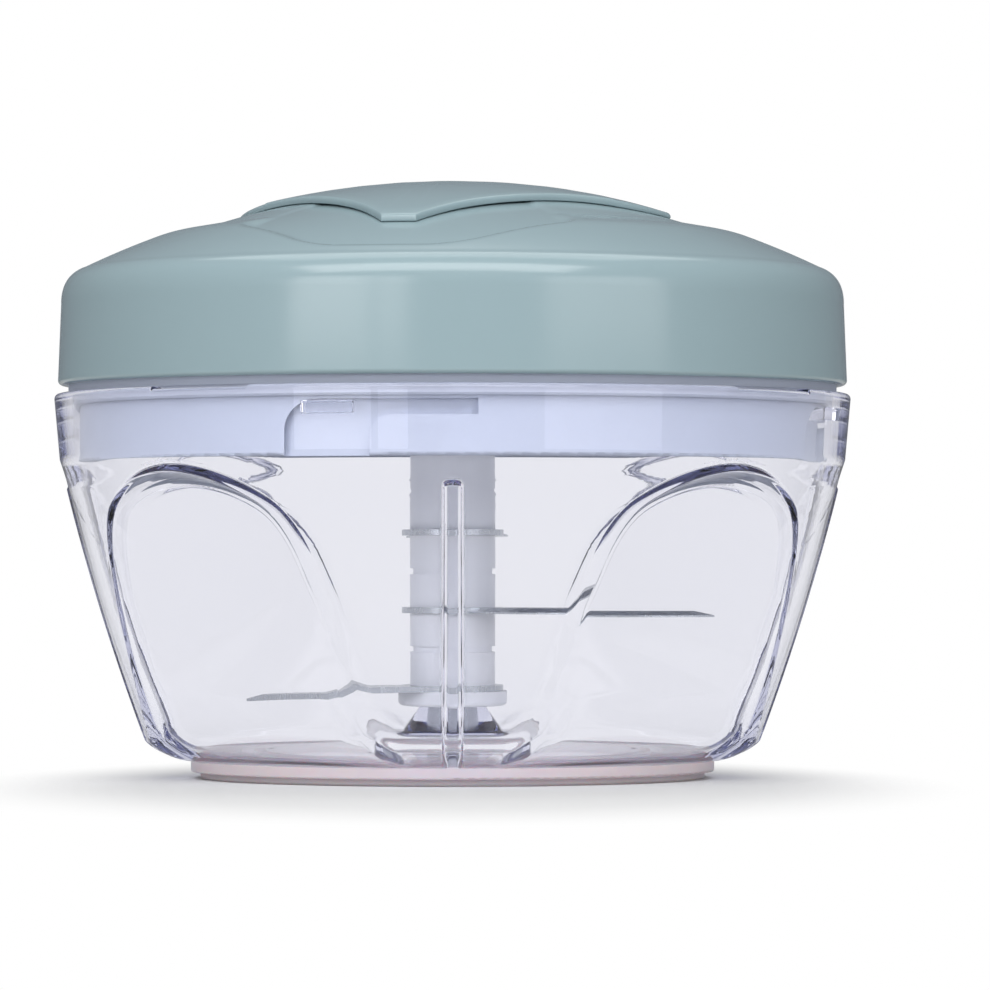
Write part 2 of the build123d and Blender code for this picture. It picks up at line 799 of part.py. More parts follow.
def make_lid_cover():
    edge = dome_edge_radius
    shoulder_via = (
        cover_shoulder_radius - cover_shoulder_shares[0] * dome_edge_inset,
        cover_shoulder_level + cover_shoulder_shares[1] * dome_edge_rise,
    )
    top_via = (edge / 2, dome_level(edge / 2))
    round_share = 1 - sin(pi / 4)
    bottom_via = (
        cover_bottom_radius - round_share * cover_edge_round,
        flange_top + round_share * cover_edge_round,
    )
    outer = turned(outline(
        (0, flange_top),
        (cover_bottom_radius - cover_edge_round, flange_top),
        (bottom_via, (cover_bottom_radius, flange_top + cover_edge_round)),
        (cover_side_radius, cover_side_level),
        (cover_shoulder_radius, cover_shoulder_level),
        (shoulder_via, (edge, dome_edge_level)),
        (top_via, (0, dome_apex)),
    ))
    inner_dome = dome_radius - cover_wall
    inner_edge = edge - cover_wall
    inner_via = (inner_edge / 2, dome_level(inner_edge / 2, inner_dome))
    inner = turned(outline(
        (0, flange_top - past),
        (cover_bottom_radius - cover_wall, flange_top - past),
        (cover_bottom_radius - cover_wall, flange_top),
        (cover_side_radius - cover_wall, cover_side_level),
        (cover_shoulder_radius - cover_wall, cover_shoulder_level - cover_wall / 2),
        (inner_edge, dome_level(inner_edge, inner_dome)),
        (inner_via, (0, dome_centre + inner_dome)),
    ))
    cover = outer - inner
    well_top = dome_level(well_radius + well_wall) - cover_wall / 2
    cup = disc(well_radius + well_wall, well_underside, well_top)
    cover += cup
    cover += disc(axle_boss_radius, well_underside - axle_boss_drop, well_underside + well_floor_thickness / 2)
    cover -= disc(well_radius, well_floor_level, dome_apex + past)
    cover -= turned(recess_face())
    for copy in around(tongue_cutter(), 2, handle_turn):
        cover -= copy
    cover -= disc(axle_radius + fit_gap, well_underside - past, axle_top_level)
    cover -= Pos(*eyelet_place(), 0) * disc(
        eyelet_bore_radius + eyelet_wall + fit_gap, well_underside - past, well_floor_level + past
    )
    boss_top = dome_level(lid_screw_circle, inner_dome) + cover_wall / 2
    boss = Pos(lid_screw_circle, 0, 0) * disc(lid_boss_radius, flange_top, boss_top)
    boss = boss & ball(dome_radius - cover_wall / 2, dome_centre)
    pilot_top = floor_underside + lid_screw_length + fit_gap
    pilot = Pos(lid_screw_circle, 0, 0) * disc(screw_radius + fit_gap, flange_top - past, pilot_top)
    for copy in around(boss, lid_screw_count, 180.0 / lid_screw_count):
        cover += copy
    for copy in around(pilot, lid_screw_count, 180.0 / lid_screw_count):
        cover -= copy
    return cover


# Screws, all of one kind of pan head
def make_screw(x, y, seat, length, radius=screw_radius):
    """Screw whose head lies below its seat and whose shank goes up into the boss."""
    head = disc(screw_head_radius, seat - screw_head_height, seat)
    head = fillet(head.edges().group_by(Axis.Z)[0], screw_head_height / 2)
    head -= slab(2 * screw_head_radius + past, screw_slot_width, seat - screw_head_height - past,
                 seat - screw_head_height + screw_slot_depth)
    return Pos(x, y, 0) * (head + disc(radius, seat, seat + length))


def make_lid_screws():
    screw = make_screw(lid_screw_circle, 0, floor_underside, lid_screw_length)
    return around(screw, lid_screw_count, 180.0 / lid_screw_count)


# Drive spindle, clip and bush
def make_bearing_bush():
    bush = ring(bush_radius, spindle_radius + running_gap, bearing_low_level, bearing_top_level)
    return bush + ring(bush_flange_radius, spindle_radius + running_gap, bearing_top_level, bush_top)


def make_drive_spindle():
    groove_top = bearing_low_level - float_gap
    groove_bottom = groove_top - clip_thickness
    spindle = disc(spindle_radius, groove_top, spindle_disc_top)
    spindle += disc(clip_groove_radius, groove_bottom - fit_gap, groove_top)
    tang_low = hub_cap_level - socket_depth + air_gap
    tang = slab(tang_width, tang_thickness, tang_low, groove_bottom - fit_gap)
    spindle += tang & disc(tang_width / 2, tang_low, groove_bottom)
    spindle += disc(spindle_disc_radius, spindle_disc_bottom, spindle_disc_top)
    cup_top = spindle_disc_top + spindle_cup_height
    spindle += ring(spindle_cup_radius, spindle_cup_radius - spindle_cup_wall, spindle_disc_top, cup_top)
    key = Pos(spindle_cup_radius, 0, 0) * slab(pawl_ring_wall, spindle_key_width, spindle_disc_top, cup_top)
    for copy in around(key, pawl_count):
        spindle += copy
    return spindle


def make_spindle_clip():
    high = bearing_low_level - float_gap
    clip = ring(clip_radius, clip_groove_radius + fit_gap, high - clip_thickness, high)
    reach = clip_radius + past
    half = radians(clip_opening / 2)
    mouth = outline((0, 0), (reach * cos(half), -reach * sin(half)), (reach * cos(half), reach * sin(half)))
    return clip - Pos(0, 0, high - clip_thickness - past) * extrude(mouth, amount=clip_thickness + 2 * past)


# One way drive between reel and spindle
def sector(outer, inner, start, sweep, low, high):
    """Piece of an upright ring over an angle in degrees."""
    a = radians(start)
    b = radians(start + sweep / 2)
    c = radians(start + sweep)
    face = outline(
        (inner * cos(a), inner * sin(a)),
        (outer * cos(a), outer * sin(a)),
        ((outer * cos(b), outer * sin(b)), (outer * cos(c), outer * sin(c))),
        (inner * cos(c), inner * sin(c)),
        ((inner * cos(b), inner * sin(b)), (inner * cos(a), inner * sin(a))),
    )
    return Pos(0, 0, low) * extrude(face, amount=high - low)


def make_pawl_ring():
    """Plastic ring with three springy fingers that catch the teeth one way."""
    low = spindle_disc_top
    high = low + pawl_height
    inner = spindle_cup_radius + fit_gap
    pawls = ring(inner + pawl_ring_wall, inner, low, high)
    key_gap = spindle_key_width + 2 * fit_gap
    keyway = Pos(inner, 0, 0) * slab(pawl_ring_wall + 2 * fit_gap, key_gap, low - past, high + past)
    arm_inner = pawl_arm_radius - pawl_arm_thickness
    root_start = pawl_start + pawl_arm_sweep - pawl_root_sweep
    finger = sector(pawl_arm_radius, inner + pawl_ring_wall / 2, root_start, pawl_root_sweep, low, high)
    finger += sector(pawl_arm_radius, arm_inner, pawl_start, pawl_arm_sweep, low, high)
    finger += sector(pawl_tip_radius, arm_inner, pawl_start, pawl_tip_sweep, low, high)
    for copy in around(finger, pawl_count):
        pawls += copy
    for copy in around(keyway, pawl_count):
        pawls -= copy
    return pawls


def make_ratchet_ring():
    """Ring of inner saw teeth whose steep faces push the fingers' tips as the cord is pulled."""
    low = web_level - ratchet_height
    step = 2 * pi / ratchet_tooth_count
    points = []
    for k in range(ratchet_tooth_count):
        start = k * step
        points.append((ratchet_root_radius * cos(start), ratchet_root_radius * sin(start)))
        late = start + step * ratchet_flat_share
        points.append((ratchet_root_radius * cos(late), ratchet_root_radius * sin(late)))
        points.append((ratchet_tip_radius * cos(start + step), ratchet_tip_radius * sin(start + step)))
    teeth = Pos(0, 0, low - past) * extrude(make_face(Polyline(*points, close=True)), amount=ratchet_height + 2 * past)
    turn = pawl_start - degrees(air_gap / ratchet_tip_radius)
    return Rot(0, 0, turn) * (disc(drum_inner_radius - fit_gap, low, web_level) - teeth)


# Cord reel
def make_cord_reel():
    outer = outline(
        (drum_inner_radius, reel_bottom_level),
        (reel_flange_radius, reel_bottom_level),
        (reel_flange_radius, drum_groove_bottom),
        (drum_radius, drum_groove_bottom),
        (drum_radius, reel_top_level - reel_flange_thickness),
        (reel_top_flange_radius, reel_top_level - reel_flange_thickness),
        (reel_top_flange_radius, reel_top_level),
        (spring_cover_radius + fit_gap, reel_top_level),
        (spring_cover_radius + fit_gap, reel_top_level - spring_cover_thickness),
        (drum_inner_radius, reel_top_level - spring_cover_thickness),
    )
    reel = turned(outer)
    reel += disc(drum_inner_radius + cord_radius, web_level, web_level + web_thickness)
    reel += disc(reel_sleeve_radius, sleeve_bottom_level, web_level + web_thickness)
    reel -= disc(axle_radius + running_gap, sleeve_bottom_level - past, web_level + past)
    window_place = (drum_inner_radius + reel_sleeve_radius) / 2
    window = Pos(window_place, 0, 0) * disc(reel_window_radius, web_level - past, web_level + past)
    for copy in around(window, reel_window_count, 180.0 / reel_window_count):
        reel -= copy
    catch = slab(2 * cord_radius, axle_slot_width, spring_level() - air_gap, spring_level() + spring_height + air_gap)
    reel -= Rot(0, 0, spring_end_turn()) * (Pos(drum_inner_radius, spring_thickness / 2, 0) * catch)
    tail = cord_points()[0]
    anchor_top = winding_low + cord_radius
    anchor = slab(cord_anchor_width, cord_anchor_depth, drum_groove_bottom - fit_gap, anchor_top)
    offset = cord_anchor_depth / 2
    place = (tail[0] + offset * tail[3], tail[1] + offset * tail[4])
    turn = degrees(atan2(tail[4], tail[3])) - 90.0
    reel += Pos(place[0], place[1], 0) * (Rot(0, 0, turn) * anchor) & disc(
        reel_flange_radius, reel_bottom_level, reel_top_level
    )
    return reel


def make_spring_cover():
    low = reel_top_level - spring_cover_thickness
    return ring(spring_cover_radius, spring_cover_hole, low, reel_top_level)


# Recoil spring
def spring_level():
    return web_level + web_thickness + spring_lift


def spring_crossings():
    """Distances from the axis at which the spiral crosses the X axis, every half turn."""
    return [spring_start_radius + spring_pitch / 2 * k for k in range(2 * spring_turns + 1)]


def spring_end_turn():
    """Where the outer end of the spiral lies, in degrees."""
    return 180.0 * (2 * spring_turns % 2)


def spiral(offset):
    """Half circles that follow the strip, moved outwards from its middle by an offset."""
    crossings = spring_crossings()
    arcs = []
    for k in range(2 * spring_turns):
        side = 1 if k % 2 == 0 else -1
        near = crossings[k] + offset
        far = crossings[k + 1] + offset
        through = (side * (near - far) / 2, side * (near + far) / 2)
        arcs.append(ThreePointArc((side * near, 0), through, (-side * far, 0)))
    return arcs


def make_recoil_spring():
    """Flat spiral strip; its inner end hooks the axle and its outer end the drum."""
    half = spring_thickness / 2
    first = spring_crossings()[0]
    last = spring_crossings()[-1]
    closing = [Line((first - half, 0), (first + half, 0)), Line((last - half, 0), (last + half, 0))]
    strip = extrude(make_face(spiral(half) + spiral(-half) + closing), amount=spring_height)
    hook_end = axle_radius - axle_slot_width
    hook_long = first + half - hook_end
    hook = Pos(hook_end + hook_long / 2, -half, 0) * slab(hook_long, spring_thickness, 0, spring_height)
    tab_long = drum_inner_radius + axle_slot_width - (last - half)
    tab = Pos(last - half + tab_long / 2, half, 0) * slab(tab_long, spring_thickness, 0, spring_height)
    print("recoil spring: least gap to itself", least_gap(Wire(spiral(0)), spring_thickness, first), "mm")
    return Pos(0, 0, spring_level()) * (strip + hook + tab)


# Axle of the reel
def make_reel_axle():
    axle = disc(axle_radius, washer_top_level, axle_top_level)
    bore_top = washer_top_level + axle_screw_length + air_gap
    axle -= disc(axle_screw_radius + fit_gap, washer_top_level - past, bore_top)
    slot = slab(2 * axle_slot_width, axle_slot_width, spring_level() - air_gap, spring_level() + spring_height + air_gap)
    return axle - Pos(axle_radius, -spring_thickness / 2, 0) * slot


def make_axle_washer():
    low = washer_top_level - axle_washer_thickness
    return ring(axle_washer_radius, axle_screw_radius + fit_gap, low, washer_top_level)


def make_axle_screw():
    seat = washer_top_level - axle_washer_thickness
    return make_screw(0, 0, seat, axle_washer_thickness + axle_screw_length, axle_screw_radius)


# Cord, its eyelet and its guide
def eyelet_place():
    """Middle of the eyelet, on the handle's long axis."""
    turn = radians(handle_turn)
    return eyelet_distance * cos(turn), eyelet_distance * sin(turn)


def leave_turn():
    """Angle on the drum where the cord leaves it along a tangent to the eyelet, in degrees."""
    run = sqrt(eyelet_distance ** 2 - winding_radius ** 2)
    return handle_turn - degrees(atan2(run, winding_radius))


def cord_points():
    """Places of the winding every half turn: x, y, level and the way the cord runs there."""
    points = []
    halves = 2 * cord_turns
    for k in range(halves + 1):
        turn = radians(leave_turn() - 180.0 * (halves - k))
        level = winding_low + cord_pitch / 2 * k
        points.append((winding_radius * cos(turn), winding_radius * sin(turn), level, -sin(turn), cos(turn)))
    tail = points[0]
    start = (tail[0] - cord_diameter * tail[3], tail[1] - cord_diameter * tail[4], tail[2], -tail[3], -tail[4])
    return [start] + points


def tube(path, radius, start, way):
    """Round bar swept along a path."""
    section = Plane(origin=start, z_dir=way) * Circle(radius)
    return sweep(section, path=path)


def make_wound_cord():
    """Four turns on the drum, each of two half circles, with a straight end at the anchor."""
    points = cord_points()
    edges = [Line(points[0][:3], points[1][:3])]
    for k in range(1, len(points) - 1):
        a = points[k]
        b = points[k + 1]
        middle = Vector((a[0] + b[0]) / 2, (a[1] + b[1]) / 2, (a[2] + b[2]) / 2)
        radius = (Vector(*b[:3]) - Vector(*a[:3])).length / 2
        through = middle + Vector(a[3], a[4], 0) * radius
        edges.append(ThreePointArc(a[:3], through, b[:3]))
    wire = Wire(edges)
    cord = tube(wire, cord_radius, points[0][:3], (points[1][3], points[1][4], 0))
    expected = pi * cord_radius ** 2 * wire.length
    print("wound cord: length", round(wire.length, 1), "mm, radius", round(winding_radius, 1), "mm")
    print("wound cord: volume over section times length", round(cord.volume / expected, 4))
    print("wound cord: least gap to itself", least_gap(wire, cord_diameter, winding_radius), "mm")
    return cord


def lead_route():
    """Corner points of the lead from the drum through the guide and up the eyelet."""
    leave = cord_points()[-1]
    x, y = eyelet_place()
    return (leave[0], leave[1], leave[2]), (x, y, leave[2]), (x, y, eyelet_top)


def lead_wire():
    start, corner, end = lead_route()
    return FilletPolyline(start, corner, end, radius=cord_elbow_radius)


def make_cord_lead():
    leave = cord_points()[-1]
    wire = lead_wire()
    print("cord lead: length", round(wire.length, 1), "mm, elbow radius", cord_elbow_radius, "mm")
    return tube(wire, cord_radius, leave[:3], (leave[3], leave[4], 0))


def make_cord_tail():
    x, y = eyelet_place()
    return Pos(x, y, 0) * disc(cord_radius, eyelet_top, handle_base_top)


def make_cord_knot():
    x, y = eyelet_place()
    knot = Pos(x, y, handle_base_top + knot_seat_share * knot_radius) * Sphere(knot_radius)
    return knot & Pos(x, y, 0) * disc(2 * knot_radius, handle_base_top, handle_base_top + 2 * knot_radius)


def make_cord_eyelet():
    outer = eyelet_bore_radius + eyelet_wall
    eyelet = ring(outer, eyelet_bore_radius, well_underside, well_floor_level)
    eyelet += ring(eyelet_flange_radius, eyelet_bore_radius, well_floor_level, eyelet_top)
    x, y = eyelet_place()
    return Pos(x, y, 0) * eyelet


def make_cord_guide():
    """Block under the well that turns the cord upwards round a smooth elbow."""
    x, y = eyelet_place()
    leave = cord_points()[-1]
    turn = degrees(atan2(leave[4], leave[3]))
    long = guide_front + guide_back
    block = Pos((guide_front - guide_back) / 2, 0, 0) * slab(
        long, 2 * guide_half_width, well_underside - guide_drop, well_underside
    )
    block = Pos(x, y, 0) * (Rot(0, 0, turn) * block)
    block -= disc(reel_flange_radius + air_gap, well_underside - guide_drop - past, well_underside + past)
    channel = tube(lead_wire(), guide_channel_radius, leave[:3], (leave[3], leave[4], 0))
    return block - channel


# Handle
def make_pull_handle():
    dome = ball(handle_dome_radius, handle_centre)
    plan = extrude(handle_outline(), amount=handle_apex + past)
    blade = (plan & dome) - ball(handle_dome_radius - handle_edge, handle_centre)
    blade = Rot(0, 0, handle_turn) * blade
    core = disc(handle_core_radius, handle_floor_level, handle_apex + past) & dome
    inner_radius = handle_core_radius - handle_core_wall
    hollow = disc(inner_radius, handle_floor_level - past, handle_apex + past)
    core -= hollow & ball(handle_dome_radius - handle_shell, handle_centre)
    handle = blade + core
    pilot_top = handle_floor_level + screw_head_height + handle_screw_length + fit_gap
    for side in (-1, 1):
        x, y = handle_screw_place(side)
        boss = Pos(x, y, 0) * disc(handle_boss_radius, handle_base_top, handle_apex)
        handle += boss & ball(handle_dome_radius - handle_edge, handle_centre)
        handle -= Pos(x, y, 0) * disc(screw_radius + fit_gap, handle_base_top - past, pilot_top)
    return handle


def handle_screw_place(side):
    turn = radians(handle_turn + 90 * side)
    return handle_screw_spread * cos(turn), handle_screw_spread * sin(turn)


def make_handle_base():
    radius = handle_core_radius - handle_core_wall - fit_gap
    base = disc(radius, handle_floor_level, handle_base_top)
    foot_turn = handle_turn + 180.0
    foot = Pos(handle_foot_spread, 0, 0) * disc(handle_foot_radius, well_floor_level, handle_floor_level + fit_gap)
    for copy in around(foot, handle_foot_count, foot_turn):
        base += copy
    seat = handle_floor_level + screw_head_height
    for side in (-1, 1):
        x, y = handle_screw_place(side)
        base -= Pos(x, y, 0) * disc(screw_radius + air_gap, handle_floor_level - past, handle_base_top + past)
        base -= Pos(x, y, 0) * disc(screw_head_radius + air_gap, handle_floor_level - past, seat)
    x, y = eyelet_place()
    base -= Pos(x, y, 0) * disc(eyelet_bore_radius, handle_floor_level - past, handle_base_top + past)
    return base


def make_handle_screws():
    seat = handle_floor_level + screw_head_height
    places = [handle_screw_place(side) for side in (-1, 1)]
    return [make_screw(x, y, seat, handle_screw_length) for x, y in places]


# Build every node
os.makedirs("parts", exist_ok=True)
save("bowl", make_bowl())
save("base_ring", make_base_ring())
save("pivot_pin", make_pivot_pin())
save("blade_hub", make_blade_hub())
save("lower_blade", make_blade(0))
save("middle_blade", make_blade(1))
save("upper_blade", make_blade(2))
save("lower_sleeve", make_sleeve(0))
save("upper_sleeve", make_sleeve(1))
save("hub_cap", make_hub_cap())
save("lid_gasket", make_lid_gasket())
save("lid_base", make_lid_base())
save("lid_cover", make_lid_cover())
save("lid_screws", *make_lid_screws())
save("bearing_bush", make_bearing_bush())
save("drive_spindle", make_drive_spindle())
save("spindle_clip", make_spindle_clip())
save("pawl_ring", make_pawl_ring())
save("ratchet_ring", make_ratchet_ring())
save("cord_reel", make_cord_reel())
save("spring_cover", make_spring_cover())
save("recoil_spring", make_recoil_spring())
save("reel_axle", make_reel_axle())
save("axle_washer", make_axle_washer())
save("axle_screw", make_axle_screw())
save("wound_cord", make_wound_cord())
save("cord_lead", make_cord_lead())
save("cord_tail", make_cord_tail())
save("cord_knot", make_cord_knot())
save("cord_eyelet", make_cord_eyelet())
save("cord_guide", make_cord_guide())
save("pull_handle", make_pull_handle())
save("handle_base", make_handle_base())
save("handle_screws", *make_handle_screws())
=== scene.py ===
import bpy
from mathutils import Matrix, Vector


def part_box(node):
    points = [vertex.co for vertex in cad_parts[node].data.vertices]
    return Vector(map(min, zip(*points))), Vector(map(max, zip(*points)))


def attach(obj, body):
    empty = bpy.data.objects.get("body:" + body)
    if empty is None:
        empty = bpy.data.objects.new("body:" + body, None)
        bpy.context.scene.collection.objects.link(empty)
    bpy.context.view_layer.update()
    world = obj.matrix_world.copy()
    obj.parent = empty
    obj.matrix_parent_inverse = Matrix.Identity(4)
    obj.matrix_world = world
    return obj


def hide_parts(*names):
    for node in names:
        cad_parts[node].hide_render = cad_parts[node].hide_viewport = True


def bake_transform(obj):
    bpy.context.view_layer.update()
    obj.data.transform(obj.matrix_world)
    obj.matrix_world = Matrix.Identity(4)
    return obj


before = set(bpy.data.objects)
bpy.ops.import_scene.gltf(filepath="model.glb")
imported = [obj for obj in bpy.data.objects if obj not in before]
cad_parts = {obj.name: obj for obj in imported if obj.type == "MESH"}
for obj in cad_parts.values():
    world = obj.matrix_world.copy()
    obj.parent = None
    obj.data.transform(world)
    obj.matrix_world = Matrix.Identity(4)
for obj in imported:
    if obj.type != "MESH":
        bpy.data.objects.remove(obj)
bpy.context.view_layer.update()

import math

import bmesh
import bpy
import numpy as np
from bpy.props import FloatProperty, FloatVectorProperty, PointerProperty
from mathutils import Vector

bl_info = {
    "name": "Pull cord food chopper",
    "version": (1, 0, 0),
    "blender": (4, 5, 0),
    "location": "3D View > Sidebar > Chopper",
    "description": "Dresses a pull cord food chopper: clear bowl, domed lid, pull handle, rotor and cord",
    "category": "Add Mesh",
}

WHITE = (1.0, 1.0, 1.0, 1.0)


# Settings
def srgb(text):
    """Linear colour, with alpha, of six hexadecimal digits."""
    values = [int(text[k:k + 2], 16) / 255 for k in (0, 2, 4)]
    return [v / 12.92 if v <= 0.04045 else ((v + 0.055) / 1.055) ** 2.4 for v in values] + [1.0]


def number(name, description, default, **kind):
    """Property of one number."""
    return FloatProperty(name=name, description=description, default=default, **kind)


def length(name, description, default):
    """Property of one length in metres."""
    return number(name, description, default, unit="LENGTH", precision=5)


def colour(name, description, default):
    """Property of one colour."""
    return FloatVectorProperty(
        name=name, description=description, default=srgb(default), size=4, min=0.0, max=1.0, subtype="COLOR"
    )


class ChopperStudio(bpy.types.PropertyGroup):
    """Camera, lamps and floor."""

    camera_distance: length("Camera distance", "From the chopper's axis to the camera", 0.975)
    camera_height: length("Camera height", "Of the camera over the table", 0.0346)
    aim_side: length("Aim to the right", "Point on the chopper's middle plane that the camera looks at", 0.0070)
    aim_height: length("Aim height", "Height of that point", 0.0467)
    lens: number("Lens", "Focal length on a 36 mm sensor, in millimetres", 214.4)
    ambient: number("Ambient light", "Even light from all round", 0.24)
    mirror: number("Mirrored surroundings", "What gloss mirrors beside the lamps", 0.22)
    front_lamp: number("Front lamps", "Radiance of the lamps in front", 3.4)
    lamp_distance: length("Lamp distance", "From the chopper's axis to the front lamps", 1.0)
    lamp_foot: length("Lamp foot", "Height of the front lamps' lower edge", 0.085)
    lamp_height: length("Lamp height", "Height of the front lamps", 0.42)
    upper_lamp: number("Upper lamp", "Radiance of the lamp high in front", 4.4)
    top_lamp: number("Top lamp", "Radiance of the lamp above", 1.5)
    floor_size: length("Floor size", "Side of the square floor", 6.0)


class ChopperBowl(bpy.types.PropertyGroup):
    """Clear bowl and its foot ring."""

    facet_ramp: number(
        "Facet edge", "Slope of the edge round each flat, from straight out", math.radians(24.0), subtype="ANGLE"
    )
    facet_softness: length("Facet softness", "How far the upper edges of the flats are rounded", 0.0004)
    facet_foot: length("Facet foot", "Rounding where a flat meets its sloping edge", 0.0004)
    rib_softness: length("Rib softness", "Rounding of the upright ribs", 0.0006)
    tint: colour("Tint", "Colour of the clear plastic", "FAFAFC")
    depth_tint: colour("Depth tint", "Colour that thick walls of the clear plastic take on", "CDD0E6")
    depth: number("Depth", "How fast the clear plastic takes on that colour, per metre", 55.0)
    foot_colour: colour("Foot colour", "Colour of the milky foot ring", "D3C9CE")


class ChopperLid(bpy.types.PropertyGroup):
    """Lid cover, handle, base and seal."""

    sage: colour("Sage green", "Colour of the cover and the handle", "92A7AD")
    white: colour("White", "Colour of the lid base and the handle's plate", "B2B9CA")
    seal: colour("Seal", "Colour of the seal between lid and bowl", "BCC2D2")
    crease: length("Crease", "Rounding of the edge of the finger tongues", 0.0012)
    gloss: number(
        "Roughness", "Roughness of the cover and the handle", 0.17, min=0.0, max=1.0, subtype="FACTOR"
    )


class ChopperInside(bpy.types.PropertyGroup):
    """Rotor, drive and cord."""

    rotor: colour("Rotor", "Colour of the hub, its spacers and its cap", "E8EAF0")
    blade: colour("Blades", "Colour of the blade steel", "B2B6BC")
    inner: colour("Inner plastic", "Colour of the reel, the spindle and their bearings", "D6D6D6")
    dark: colour("Dark plastic", "Colour of the pawls and the ratchet", "3A3C3F")
    bright: colour("Bright steel", "Colour of the pins, the screws and the eyelet", "BFC2C6")
    spring: colour("Spring steel", "Colour of the recoil spring and the clip", "7A7F88")
    cord: colour("Cord", "Colour of the braided cord", "EFEFEA")


# Node helpers
SOCKET_KINDS = {1: "NodeSocketFloat", 3: "NodeSocketVector", 4: "NodeSocketColor"}


def add(tree, kind, **settings):
    """New node with its own settings."""
    node = tree.nodes.new(kind)
    for name, value in settings.items():
        setattr(node, name, value)
    return node


def feed(socket, value):
    """Link an input socket to an output socket, or set it to a plain value."""
    if isinstance(value, bpy.types.NodeSocket):
        socket.id_data.links.new(value, socket)
    else:
        socket.default_value = value


def put(node, **values):
    """Feed input sockets by their names; an underscore stands for a space."""
    for name, value in values.items():
        feed(node.inputs[name.replace("_", " ")], value)
    return node


def maths(tree, operation, *values):
    """Result of a Math node on sockets or numbers."""
    node = add(tree, "ShaderNodeMath", operation=operation)
    for socket, value in zip(node.inputs, values):
        feed(socket, value)
    return node.outputs[0]


def mix_shaders(tree, share, first, second):
    """Shader between two others; the share is that of the second."""
    node = add(tree, "ShaderNodeMixShader")
    for socket, value in zip(node.inputs, (share, first, second)):
        feed(socket, value)
    return node.outputs[0]


def scaled(tree, base, factor):
    """Colour times a factor."""
    node = add(tree, "ShaderNodeVectorMath", operation="SCALE")
    feed(node.inputs[0], base)
    return put(node, Scale=factor).outputs[0]


def object_place(tree):
    """Coordinates in the piece's own frame."""
    return add(tree, "ShaderNodeTexCoord").outputs["Object"]


def mapped(tree, vector, **values):
    """Vector after a Mapping node."""
    return put(add(tree, "ShaderNodeMapping"), Vector=vector, **values).outputs["Vector"]


def noise(tree, vector, scale, detail, roughness):
    """Value of a noise texture."""
    node = add(tree, "ShaderNodeTexNoise")
    return put(node, Vector=vector, Scale=scale, Detail=detail, Roughness=roughness).outputs["Fac"]


def start_group(name, inputs, outputs):
    """Empty node group; returns its tree, its inputs' sockets and its output node.

    The kind of an input follows from the size of its default value.
    """
    tree = bpy.data.node_groups.new(name, "ShaderNodeTree")
    for label, default in inputs.items():
        size = len(default) if isinstance(default, tuple) else 1
        socket = tree.interface.new_socket(label, in_out="INPUT", socket_type=SOCKET_KINDS[size])
        socket.default_value = default
    for label in outputs:
        kind = SOCKET_KINDS[4 if label == "Color" else 1]
        tree.interface.new_socket(label, in_out="OUTPUT", socket_type=kind)
    return tree, add(tree, "NodeGroupInput").outputs, add(tree, "NodeGroupOutput")


def moulded_plastic_group(name):
    """Fine orange peel, cloudy tone and uneven gloss of moulded plastic."""
    tree, given, made = start_group(
        name,
        {
            "Color": (0.5, 0.5, 0.5, 1.0), "Tone spread": 0.04, "Roughness": 0.2, "Roughness spread": 0.05,
            "Peel scale": 900.0, "Cloud scale": 22.0,
        },
        ("Color", "Roughness", "Height"),
    )
    place = object_place(tree)
    cloud = noise(tree, place, given["Cloud scale"], 4.0, 0.55)
    peel = noise(tree, place, given["Peel scale"], 2.0, 0.45)
    offset = maths(tree, "SUBTRACT", cloud, 0.5)
    tone = maths(tree, "MULTIPLY_ADD", offset, given["Tone spread"], 1.0)
    rough = maths(tree, "MULTIPLY_ADD", offset, given["Roughness spread"], given["Roughness"])
    put(made, Color=scaled(tree, given["Color"], tone), Roughness=rough, Height=peel)


def handling_marks_group(name):
    """Hairline scratches and smudges, as a mask between none and one."""
    tree, given, made = start_group(name, {"Scale": 60.0, "Share": 0.4}, ("Mask",))
    place = object_place(tree)
    stretched = mapped(tree, place, Rotation=(0.4, 0.9, 0.3), Scale=(1.0, 14.0, 1.0))
    hair = noise(tree, stretched, given["Scale"], 6.0, 0.7)
    smudge = noise(tree, place, 30.0, 3.0, 0.6)
    ramp = put(add(tree, "ShaderNodeMapRange"), Value=hair, From_Min=0.55, From_Max=0.75)
    both = maths(tree, "MULTIPLY", ramp.outputs["Result"], smudge)
    put(made, Mask=maths(tree, "MULTIPLY", both, given["Share"]))


def brushed_steel_group(name):
    """Streaks of a rolled and ground steel strip along one axis."""
    tree, given, made = start_group(
        name,
        {"Color": (0.6, 0.6, 0.6, 1.0), "Roughness": 0.28, "Stretch": (1.0, 12.0, 1.0), "Scale": 260.0},
        ("Color", "Roughness", "Height"),
    )
    stretched = mapped(tree, object_place(tree), Scale=given["Stretch"])
    streak = noise(tree, stretched, given["Scale"], 5.0, 0.6)
    offset = maths(tree, "SUBTRACT", streak, 0.5)
    tone = maths(tree, "MULTIPLY_ADD", offset, 0.25, 1.0)
    rough = maths(tree, "MULTIPLY_ADD", offset, 0.2, given["Roughness"])
    put(made, Color=scaled(tree, given["Color"], tone), Roughness=rough, Height=streak)


